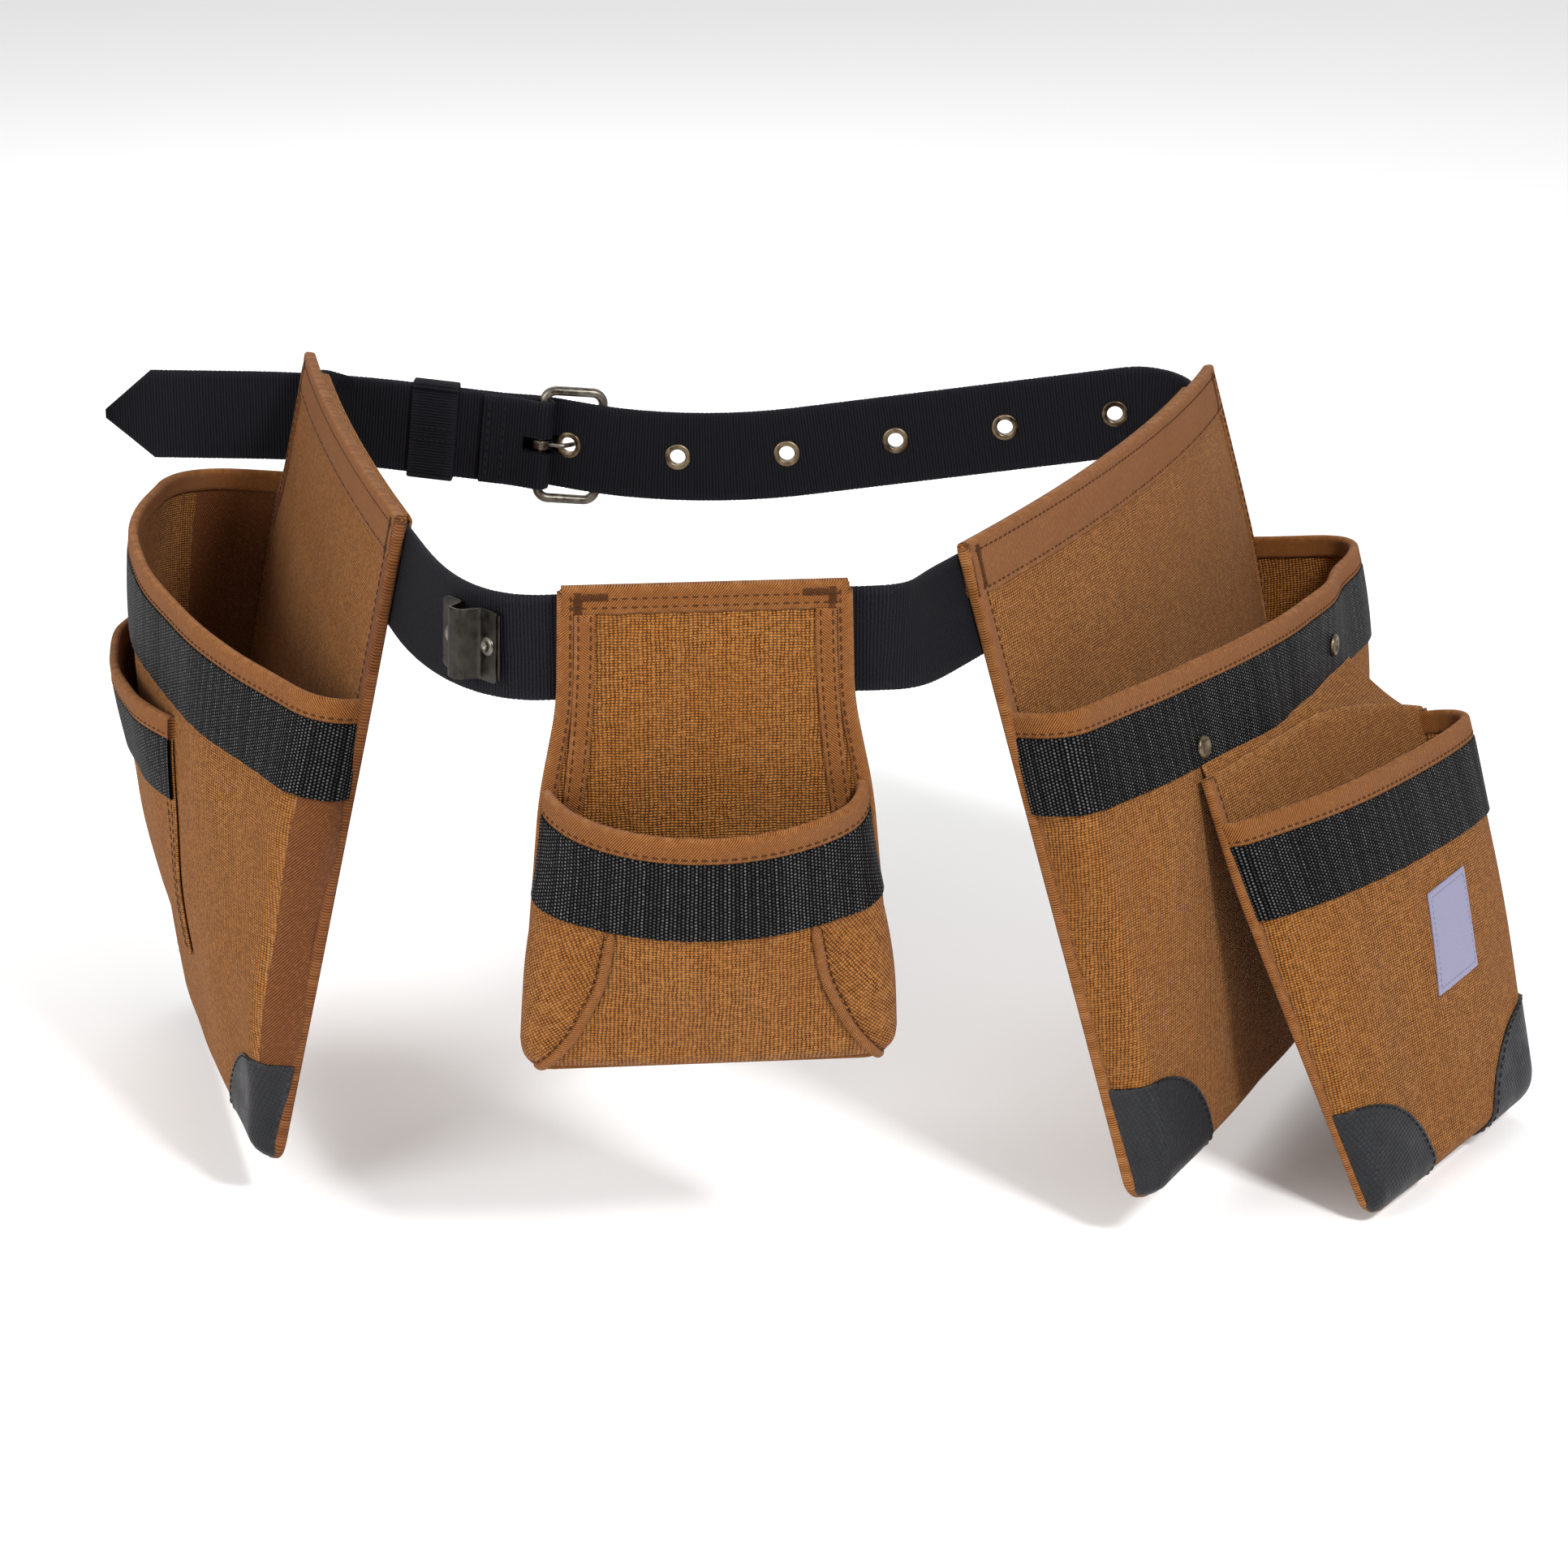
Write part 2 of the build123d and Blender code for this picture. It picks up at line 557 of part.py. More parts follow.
def rim_wrap(pouch, panel_out):
    """Binding folded over the mouth's edge, inside and outside."""
    with BuildPart() as wrap:
        add(bag_form(pouch, TRIM_T))
        add(bag_form(pouch, -CANVAS_T - TRIM_T), mode=Mode.SUBTRACT)
        add(below_rim(pouch, -TRIM_T, RIM_H + TRIM_T), mode=Mode.INTERSECT)
        add(bag_shell(pouch, panel_out), mode=Mode.SUBTRACT)
        add(layer(pouch, -60, panel_out), mode=Mode.SUBTRACT)
    return wrap.part


def outside_layer(pouch, panel_out, inner, outer):
    """Skin round the outside of a bag between two distances from its face."""
    with BuildPart() as skin:
        add(bag_form(pouch, outer))
        add(bag_form(pouch, inner), mode=Mode.SUBTRACT)
        add(layer(pouch, -60, panel_out), mode=Mode.SUBTRACT)
    return skin.part


def front_outline(pouch, inset, lift):
    """Outline of the front panel, inside the gusset that runs down, under and up the other side."""
    front_side = [(level[1] + inset, level[0]) for level in pouch.levels]
    rear_side = [(level[2] - inset, level[0]) for level in reversed(pouch.levels)]
    front_side[-1] = (front_side[-1][0], front_side[-1][1] + lift)
    rear_side[0] = (rear_side[0][0], rear_side[0][1] + lift)
    return front_side + rear_side


def strip(pouch, top, bottom, from_reach, to_reach, width):
    """Slanted upright strip as wide as a binding."""
    points = [(from_reach, top), (from_reach + width, top), (to_reach + width, bottom), (to_reach, bottom)]
    return prism(pouch, points)


def bag_out(pouch, height, reach):
    """How far out the bag's front face is at a height and a reach."""
    rows = [(a, b) for a, b in zip(pouch.levels, pouch.levels[1:]) if b[0] <= height]
    upper, lower = rows[0]
    t = (upper[0] - height) / (upper[0] - lower[0])
    front, back, out_front, out_back, bulge = [upper[i] + (lower[i] - upper[i]) * t for i in range(1, 6)]
    half = (back - front) / 2
    rise = (out_back - out_front) / 2
    chord = (half**2 + rise**2) ** 0.5
    arc_r = (chord**2 + bulge**2) / (2 * bulge)
    along = (reach - (front + back) / 2) * half / chord
    return (out_front + out_back) / 2 + rise * along / half + (arc_r**2 - along**2) ** 0.5 - (arc_r - bulge)


PANEL_BIND = {"right": (20.0, 8.0), "left": (16.0, 8.0), "centre": (9.0, 8.0)}
CENTRE_SEAM = [(33, -60), (34, -88), (39, -116), (49, -138), (62, -155)]
GUSSET_INSET = 13.0     # the front panel of a side pouch stops this far short of the gusset's outside

for name, pouch in POUCHES.items():
    points = PANEL_OUTLINES[name]
    with BuildPart() as panel_piece:
        add(back_panel(pouch, points, TUNNEL_GAP, PANEL_OUT))
    panel_piece.part.label = name + "_back_panel"
    export_step(panel_piece.part, "parts/" + name + "_back_panel.step")

    if name == "centre":
        seam = [(-x, z) for x, z in CENTRE_SEAM]
        front_points = [(-80, 0), (-80, -60)] + seam + [(-62, -200), (62, -200)]
        front_points += list(reversed(CENTRE_SEAM)) + [(80, -60), (80, 0)]
    else:
        front_points = front_outline(pouch, GUSSET_INSET, 3.0)
    with BuildPart() as front_piece:
        add(bag_shell(pouch, PANEL_OUT))
        add(prism(pouch, front_points), mode=Mode.INTERSECT)
    front_piece.part.label = name + "_front_panel"
    export_step(front_piece.part, "parts/" + name + "_front_panel.step")

    with BuildPart() as gusset_piece:
        add(bag_shell(pouch, PANEL_OUT))
        add(prism(pouch, front_points), mode=Mode.SUBTRACT)
    gusset_piece.part.label = name + "_gusset"
    export_step(gusset_piece.part, "parts/" + name + "_gusset.step")

    with BuildPart() as rim_piece:
        add(rim_wrap(pouch, PANEL_OUT))
    rim_piece.part.label = name + "_rim_binding"
    export_step(rim_piece.part, "parts/" + name + "_rim_binding.step")

    with BuildPart() as band_piece:
        add(outside_layer(pouch, PANEL_OUT, 0, TRIM_T))
        add(below_rim(pouch, RIM_H, BAND_H), mode=Mode.INTERSECT)
        add(rim_piece.part, mode=Mode.SUBTRACT)
    band_piece.part.label = name + "_webbing_band"
    export_step(band_piece.part, "parts/" + name + "_webbing_band.step")

    bind_h, bind_w = PANEL_BIND[name]
    front_top, rear_top = points[0], points[1]
    front_low, rear_low = points[-1], points[2]
    with BuildPart() as panel_binding:
        top_strip = [front_top, rear_top, (rear_top[0], TOP_Z - bind_h), (front_top[0], TOP_Z - bind_h)]
        add(prism(pouch, top_strip))
        add(strip(pouch, TOP_Z, front_low[1], front_top[0], front_low[0], bind_w))
        add(strip(pouch, TOP_Z, rear_low[1], rear_top[0] - bind_w, rear_low[0] - bind_w, bind_w))
        add(layer(pouch, PANEL_OUT, PANEL_OUT + TRIM_T), mode=Mode.INTERSECT)
        add(bag_form(pouch, TRIM_T), mode=Mode.SUBTRACT)
    panel_binding.part.label = name + "_panel_binding"
    export_step(panel_binding.part, "parts/" + name + "_panel_binding.step")

    sleeve_from, sleeve_to = SLEEVE_REACH[name]
    room = WEB_W / 2 + 0.8
    with BuildPart() as sleeve_piece:
        height = room + SLEEVE_T
        outside = [(sleeve_from, height), (sleeve_to, height), (sleeve_to, -height), (sleeve_from, -height)]
        open_from = sleeve_from - 5
        open_to = sleeve_to + 5
        inside = [(open_from, room), (open_to, room), (open_to, -room), (open_from, -room)]
        add(back_panel(pouch, outside, -WEB_T - TUNNEL_GAP - SLEEVE_T, TUNNEL_GAP))
        add(back_panel(pouch, inside, -WEB_T - TUNNEL_GAP, PANEL_OUT), mode=Mode.SUBTRACT)
    sleeve_piece.part.label = name + "_belt_sleeve"
    export_step(sleeve_piece.part, "parts/" + name + "_belt_sleeve.step")

with BuildPart() as centre_seam_piping:
    for side in (-1, 1):
        inner_edge = [(side * (x - 1.4), z) for x, z in CENTRE_SEAM[1:]]
        outer_edge = [(side * (x + 1.4), z) for x, z in reversed(CENTRE_SEAM[1:])]
        add(prism(CENTRE_POUCH, inner_edge + outer_edge))
    add(outside_layer(CENTRE_POUCH, PANEL_OUT, 0, 2.0), mode=Mode.INTERSECT)
    add(below_rim(CENTRE_POUCH, RIM_H + BAND_H + 1.6, 200), mode=Mode.INTERSECT)
centre_seam_piping.part.label = "centre_seam_piping"
export_step(centre_seam_piping.part, "parts/centre_seam_piping.step")


def corner_patches(pouch, panel_out):
    """Tough patches over both lower corners of a bag."""
    height, front, rear = pouch.levels[-1][:3]
    low = height - 2
    with BuildPart() as patches:
        with BuildSketch(face_plane(pouch)) as rounds:
            with Locations((pouch.rear * (front - 2), low), (pouch.rear * (rear + 2), low)):
                Circle(PATCH_R)
        extrude(amount=130, both=True)
        add(outside_layer(pouch, panel_out, 0, TRIM_T), mode=Mode.INTERSECT)
    return patches.part


with BuildPart() as right_corner_patches:
    add(corner_patches(RIGHT_POUCH, PANEL_OUT))
right_corner_patches.part.label = "right_corner_patches"
export_step(right_corner_patches.part, "parts/right_corner_patches.step")

with BuildPart() as left_corner_patches:
    add(corner_patches(LEFT_POUCH, PANEL_OUT))
left_corner_patches.part.label = "left_corner_patches"
export_step(left_corner_patches.part, "parts/left_corner_patches.step")

# ---- slot pocket on the outside of the left pouch --------------------------------------------------
SLOT_FROM, SLOT_TO = -34.0, 112.0
SLOT_TOP, SLOT_END = -94.0, -190.0
SLOT_GAP = 8.0


def slot_prism(inset):
    """Outline of the slot pocket, open at the top when inset."""
    low = SLOT_END + inset
    high = SLOT_TOP + (5 if inset else 0)
    front = SLOT_FROM + inset
    rear = SLOT_TO - inset
    return prism(LEFT_POUCH, [(front, high), (rear, high), (rear - 10, low), (front, low)])


with BuildPart() as left_slot_pocket:
    add(slot_prism(0))
    add(outside_layer(LEFT_POUCH, PANEL_OUT, 0, SLOT_GAP + CANVAS_T), mode=Mode.INTERSECT)
    with BuildPart(mode=Mode.PRIVATE) as slot_room:
        add(slot_prism(CANVAS_T))
        add(bag_form(LEFT_POUCH, SLOT_GAP), mode=Mode.INTERSECT)
    add(slot_room.part, mode=Mode.SUBTRACT)
left_slot_pocket.part.label = "left_slot_pocket"
export_step(left_slot_pocket.part, "parts/left_slot_pocket.step")

SLOT_FACE = SLOT_GAP + CANVAS_T
SLOT_W = SLOT_TO - SLOT_FROM
SLOT_BAND_TOP = SLOT_TOP - RIM_H
SLOT_BAND_H = 24.0
with BuildPart() as left_slot_binding:
    add(outside_layer(LEFT_POUCH, PANEL_OUT, SLOT_FACE, SLOT_FACE + TRIM_T))
    add(strip(LEFT_POUCH, SLOT_TOP, SLOT_BAND_TOP, SLOT_FROM, SLOT_FROM, SLOT_W), mode=Mode.INTERSECT)
left_slot_binding.part.label = "left_slot_binding"
export_step(left_slot_binding.part, "parts/left_slot_binding.step")

with BuildPart() as left_slot_band:
    add(outside_layer(LEFT_POUCH, PANEL_OUT, SLOT_FACE, SLOT_FACE + TRIM_T))
    band_end = SLOT_BAND_TOP - SLOT_BAND_H
    add(strip(LEFT_POUCH, SLOT_BAND_TOP, band_end, SLOT_FROM, SLOT_FROM, SLOT_W - 4), mode=Mode.INTERSECT)
left_slot_band.part.label = "left_slot_band"
export_step(left_slot_band.part, "parts/left_slot_band.step")

# ---- second pouch that hangs on the front of the right pouch ---------------------------------------
OUTER_OUTLINE = [(-86, -1), (86, -1), (83, -45), (73, -110), (60, -183), (-69, -183), (-78, -110), (-86, -45)]
with BuildPart() as outer_back_panel:
    add(back_panel(OUTER_POUCH, OUTER_OUTLINE, 0, OUTER_PANEL_T))
outer_back_panel.part.label = "outer_back_panel"
export_step(outer_back_panel.part, "parts/outer_back_panel.step")

outer_front_points = front_outline(OUTER_POUCH, 7.0, 3.0)
with BuildPart() as outer_front_panel:
    add(bag_shell(OUTER_POUCH, OUTER_PANEL_T))
    add(prism(OUTER_POUCH, outer_front_points), mode=Mode.INTERSECT)
outer_front_panel.part.label = "outer_front_panel"
export_step(outer_front_panel.part, "parts/outer_front_panel.step")

with BuildPart() as outer_gusset:
    add(bag_shell(OUTER_POUCH, OUTER_PANEL_T))
    add(prism(OUTER_POUCH, outer_front_points), mode=Mode.SUBTRACT)
outer_gusset.part.label = "outer_gusset"
export_step(outer_gusset.part, "parts/outer_gusset.step")

with BuildPart() as outer_rim_binding:
    add(rim_wrap(OUTER_POUCH, OUTER_PANEL_T))
outer_rim_binding.part.label = "outer_rim_binding"
export_step(outer_rim_binding.part, "parts/outer_rim_binding.step")

with BuildPart() as outer_webbing_band:
    add(outside_layer(OUTER_POUCH, OUTER_PANEL_T, 0, TRIM_T))
    add(below_rim(OUTER_POUCH, RIM_H, BAND_H), mode=Mode.INTERSECT)
    add(outer_rim_binding.part, mode=Mode.SUBTRACT)
outer_webbing_band.part.label = "outer_webbing_band"
export_step(outer_webbing_band.part, "parts/outer_webbing_band.step")

with BuildPart() as outer_corner_patches:
    add(corner_patches(OUTER_POUCH, OUTER_PANEL_T))
outer_corner_patches.part.label = "outer_corner_patches"
export_step(outer_corner_patches.part, "parts/outer_corner_patches.step")

LABEL_POINTS = [(0, -79), (30, -77), (23, -116), (-8, -118)]
with BuildPart() as outer_label:
    add(outside_layer(OUTER_POUCH, OUTER_PANEL_T, 0, 0.8))
    add(prism(OUTER_POUCH, LABEL_POINTS), mode=Mode.INTERSECT)
outer_label.part.label = "outer_label"
export_step(outer_label.part, "parts/outer_label.step")

# ---- rivets through the right pouch's band, one above each end of the outer pouch ------------------
RIVET_REACHES = (-64.0, 66.0)
RIVET_Z = -82.0
RIVET_CAP_R = 4.4
RIVET_CAP_H = 1.2
with BuildPart() as band_rivets:
    for reach in RIVET_REACHES:
        out = bag_out(RIGHT_POUCH, RIVET_Z, reach) + TRIM_T
        slope = bag_out(RIGHT_POUCH, RIVET_Z, reach + 1) - bag_out(RIGHT_POUCH, RIVET_Z, reach - 1)
        flare = bag_out(RIGHT_POUCH, RIVET_Z + 1, reach) - bag_out(RIGHT_POUCH, RIVET_Z - 1, reach)
        head_place = RIGHT.from_local_coords(Vector(reach, -out, RIVET_Z))
        normal = RIGHT.from_local_coords(Vector(-slope / 2, -1, -flare / 2)) - RIGHT.origin
        with BuildSketch(Plane(origin=head_place, z_dir=normal).offset(0.4)) as rivet_cap:
            Circle(RIVET_CAP_R)
        extrude(amount=RIVET_CAP_H, taper=20)
band_rivets.part.label = "band_rivets"
export_step(band_rivets.part, "parts/band_rivets.step")
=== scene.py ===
import math

import bpy
import numpy as np
from mathutils import Matrix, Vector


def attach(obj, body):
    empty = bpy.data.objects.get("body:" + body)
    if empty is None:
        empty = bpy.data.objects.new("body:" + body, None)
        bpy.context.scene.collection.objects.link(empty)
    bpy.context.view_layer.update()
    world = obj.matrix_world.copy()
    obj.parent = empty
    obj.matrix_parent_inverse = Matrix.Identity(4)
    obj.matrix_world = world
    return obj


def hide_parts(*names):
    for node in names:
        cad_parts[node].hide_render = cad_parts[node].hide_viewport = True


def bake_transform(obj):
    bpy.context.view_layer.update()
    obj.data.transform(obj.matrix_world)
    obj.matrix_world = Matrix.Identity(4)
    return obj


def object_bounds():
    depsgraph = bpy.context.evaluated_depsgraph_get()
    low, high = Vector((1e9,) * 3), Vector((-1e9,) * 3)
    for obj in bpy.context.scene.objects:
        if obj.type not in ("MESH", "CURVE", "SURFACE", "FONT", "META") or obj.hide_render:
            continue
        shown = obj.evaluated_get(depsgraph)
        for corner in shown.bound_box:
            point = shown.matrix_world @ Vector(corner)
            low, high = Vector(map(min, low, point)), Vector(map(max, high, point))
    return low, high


# Looks of the carpenter's tool belt. Every size below is in millimetres, in the frame of the CAD model,
# and a mesh is scaled to metres when it is made. "reach" runs along the belt towards the buckle, "out" is
# counted from the belt's outer face away from the waist, and "drop" is counted down from a pouch's mouth.

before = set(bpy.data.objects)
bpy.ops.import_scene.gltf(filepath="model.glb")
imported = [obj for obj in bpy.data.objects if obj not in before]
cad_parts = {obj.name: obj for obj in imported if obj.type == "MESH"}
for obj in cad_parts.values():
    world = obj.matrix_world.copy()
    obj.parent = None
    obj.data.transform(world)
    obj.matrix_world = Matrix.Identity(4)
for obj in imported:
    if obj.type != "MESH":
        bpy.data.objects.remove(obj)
cad_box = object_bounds()
MM = 0.001

# ---- driving sizes, the same as the CAD model's ---------------------------------------------------
WEB_W = 38.0
WEB_T = 2.4
PANEL_T = 3.0
PANEL_IN = 0.7
PANEL_OUT = PANEL_IN + PANEL_T
OUTER_PANEL_T = 2.4
PANEL_CORNER = 9.0
CLOSING_H = 9.0
CANVAS_T = 1.6
TRIM_T = 1.2
RIM_H = 8.0
BAND_H = 29.0
TOP_Z = 22.0
EYELET_PITCH = 46.2
EYELET_COUNT = 6


# ---- places on the belt ---------------------------------------------------------------------------
def unit(v):
    """Vectors of length one."""
    v = np.asarray(v, float)
    return v / np.maximum(np.linalg.norm(v, axis=-1, keepdims=True), 1e-9)


def curve(s, a, b, c):
    """A bend from a to c that is pulled towards b."""
    return (1 - s) ** 2 * a + 2 * s * (1 - s) * b + s**2 * c


def smooth(t, a, slope_a, b, slope_b):
    """A cubic from a to b that leaves and arrives with the given slopes."""
    leave, arrive = 2 * t**3 - 3 * t**2 + 1, 3 * t**2 - 2 * t**3
    return a * leave + slope_a * (t**3 - 2 * t**2 + t) + b * arrive + slope_b * (t**3 - t**2)


def between(at, run, table):
    """Rows of a table read at lengths between those of its rows."""
    return np.stack([np.interp(at, run, column) for column in table.T], axis=-1)


class Seat:
    """A place on the belt: x runs along it, y points at the waist and z is up."""

    def __init__(self, origin, x, z):
        self.o = np.asarray(origin, float)
        self.x = unit(x)
        self.z = unit(np.asarray(z, float) - self.x * np.dot(z, self.x))
        self.y = np.cross(self.z, self.x)

    def at(self, x, y, z):
        """World places of local coordinates."""
        x, y, z = np.broadcast_arrays(*(np.asarray(c, float) for c in (x, y, z)))
        return self.o + x[..., None] * self.x + y[..., None] * self.y + z[..., None] * self.z

    def local(self, points):
        """Local coordinates of world places, one row to an axis."""
        return np.stack([(points - self.o) @ axis for axis in (self.x, self.y, self.z)])

    def turned(self, v):
        """A local direction in the world."""
        return v[0] * self.x + v[1] * self.y + v[2] * self.z

    def moved(self, along, outward=0.0, up=0.0):
        return Seat(self.at(along, -outward, up), self.x, self.z)


def level_seat(x, y, z, heading, lean):
    """A place whose x is level; its upper side leans towards the waist."""
    h, tilt = math.radians(heading), math.radians(lean)
    along = np.array([math.cos(h), math.sin(h), 0.0])
    inward = np.array([-along[1], along[0], 0.0])
    return Seat((x, y, z), along, np.array([0, 0, math.cos(tilt)]) + inward * math.sin(tilt))


def on_arc(middle, radius, reach):
    """Place on a level arc that bends towards the waist."""
    turn = reach / radius
    place = middle.at(radius * math.sin(turn), radius * (1 - math.cos(turn)), 0)
    return Seat(place, middle.turned((math.cos(turn), math.sin(turn), 0)), middle.z)


def on_sag(low, radius, degrees):
    """Place on the hanging back strap, by its slope."""
    turn = math.radians(degrees)
    place = low.at(radius * math.sin(turn), 0, radius * (1 - math.cos(turn)))
    along = low.turned((math.cos(turn), 0, math.sin(turn)))
    return Seat(place, along, low.turned((-math.sin(turn), 0, math.cos(turn))))


def bend(start, end, pull, count, hold=0):
    """Places of a smooth bend between two places, both ends left out; a hold keeps its twist for later."""
    seats = []
    for step in range(1, count):
        t = step / count
        place = smooth(t, start.o, start.x * pull, end.o, end.x * pull)
        along = (start.o - end.o) * (6 * t**2 - 6 * t) + start.x * (3 * t**2 - 4 * t + 1) * pull
        along = along + end.x * (3 * t**2 - 2 * t) * pull
        twist = (3 * t**2 - 2 * t**3) * t**hold
        seats.append(Seat(place, along, start.z * (1 - twist) + end.z * twist))
    return seats


CENTRE = level_seat(-16, -132.5, 0, 5.3, 0)
RIGHT, RIGHT_R = level_seat(144, 38, 1.5, 66.3, 14), 800.0
LEFT, LEFT_R = level_seat(-163.5, 69, 0.5, -76.3, 12), 2000.0
STRAP_LOW, STRAP_R = level_seat(-26, 187, -20.5, 176.85, 0), 330.0
RUN_SLOPE, FALL_SLOPE = 6.0, 8.0
RUN = on_sag(STRAP_LOW, STRAP_R, RUN_SLOPE)
FALL = on_sag(STRAP_LOW, STRAP_R, -FALL_SLOPE)
BAR_RUN, BAR_IN = 31.0, 2.5
EYE_RUN = 12.0
FRONT_HALF = 56.0
LEFT_FROM, LEFT_TO, RIGHT_FROM, RIGHT_TO = -108.0, 138.0, -150.0, 118.0
BUCKLE = Seat(RUN.at(BAR_RUN, BAR_IN, 0), -RUN.x, RUN.z)


def strap_at(x, y, slope):
    """Place on the strap in the buckle, whose x runs away from the bar and y outwards."""
    turn = math.radians(slope)
    ahead = BUCKLE.at(x - math.cos(turn), y + math.sin(turn), 0)
    place = BUCKLE.at(x, y, 0)
    return Seat(place, ahead - place, BUCKLE.z)


STRAP_IN = strap_at(33.0, BAR_IN, 0)
STRAP_EYE = strap_at(EYE_RUN, 5.4, 13)
STRAP_OVER = strap_at(-1.0, 7.6, 3)
TAIL_OUT = 3.0
STRAP_DOWN = strap_at(-19.0, BAR_IN + TAIL_OUT, 0)
TAIL_LOW = RUN.moved(BAR_RUN + 58.0, TAIL_OUT)
TAIL_DROP_R = 640.0
LEFT_BEND = bend(on_arc(LEFT, LEFT_R, LEFT_TO), CENTRE.moved(-FRONT_HALF), 88, 12)
CLIP = LEFT_BEND[7]
KEEPER = RUN.moved(BAR_RUN + 46.0)


def strap_place(reach):
    """Place on the back strap at a reach from the buckle's eyelet."""
    if reach == 0:
        return STRAP_EYE
    from_low = BAR_RUN - EYE_RUN - reach
    if from_low > 0:
        return RUN.moved(from_low)
    arc = math.radians(FALL_SLOPE + RUN_SLOPE) * STRAP_R
    if -from_low < arc:
        return on_sag(STRAP_LOW, STRAP_R, RUN_SLOPE + math.degrees(from_low / STRAP_R))
    return FALL.moved(from_low + arc)


EYELETS = [strap_place(i * EYELET_PITCH) for i in range(EYELET_COUNT)]


class Path:
    """A smooth way through a list of places, read by its length."""

    def __init__(self, seats, step):
        o, x, z = (np.array([getattr(s, k) for s in seats]) for k in ("o", "x", "z"))
        places, ups = [], []
        for i in range(len(seats) - 1):
            span = np.linalg.norm(o[i + 1] - o[i])
            t = np.arange(0, 1, 1 / max(2, round(span / step)))[:, None]
            places.append(smooth(t, o[i], x[i] * span, o[i + 1], x[i + 1] * span))
            ups.append(z[i] * (1 - t) + z[i + 1] * t)
        self.o = np.vstack(places + [o[-1:]])
        self.x = unit(np.gradient(self.o, axis=0))
        ups = np.vstack(ups + [z[-1:]])
        self.z = unit(ups - self.x * np.sum(ups * self.x, axis=1, keepdims=True))
        self.y = np.cross(self.z, self.x)
        self.s = np.concatenate([[0], np.cumsum(np.linalg.norm(np.diff(self.o, axis=0), axis=1))])

    def read(self, s):
        """Places, directions towards the waist and directions up, at lengths along the path."""
        return [between(s, self.s, table) for table in (self.o, self.y, self.z)]


# ---- node materials -------------------------------------------------------------------------------
def shade(red, green, blue):
    """A colour given as it looks on a screen, from 0 to 255, as the light that it reflects."""
    light = [c / 255 / 12.92 if c < 11 else ((c / 255 + 0.055) / 1.055) ** 2.4 for c in (red, green, blue)]
    return (*light, 1.0)


class Wire:
    """A value in a node tree, which can be reckoned with like a number."""

    def __init__(self, look, socket):
        self.look, self.socket = look, socket

    def do(self, how, *values):
        node = self.look.add("ShaderNodeMath", operation=how)
        for value, socket in zip((self, *values), node.inputs):
            self.look.plug(value, socket)
        return Wire(self.look, node.outputs[0])

    def __add__(self, other):
        return self.do("ADD", other)

    def __sub__(self, other):
        return self.do("SUBTRACT", other)

    def __mul__(self, other):
        return self.do("MULTIPLY", other)

    def __truediv__(self, other):
        return self.do("DIVIDE", other)

    def __pow__(self, other):
        return self.do("POWER", other)

    def __floor__(self):
        return self.do("FLOOR")

    def wave(self, pitch):
        """A sine that changes its sign once to a pitch."""
        return (self * (math.pi / pitch)).do("SINE")

    def ribs(self, pitch):
        """Rounded ribs, one to a pitch."""
        return self.wave(pitch).do("ABSOLUTE")


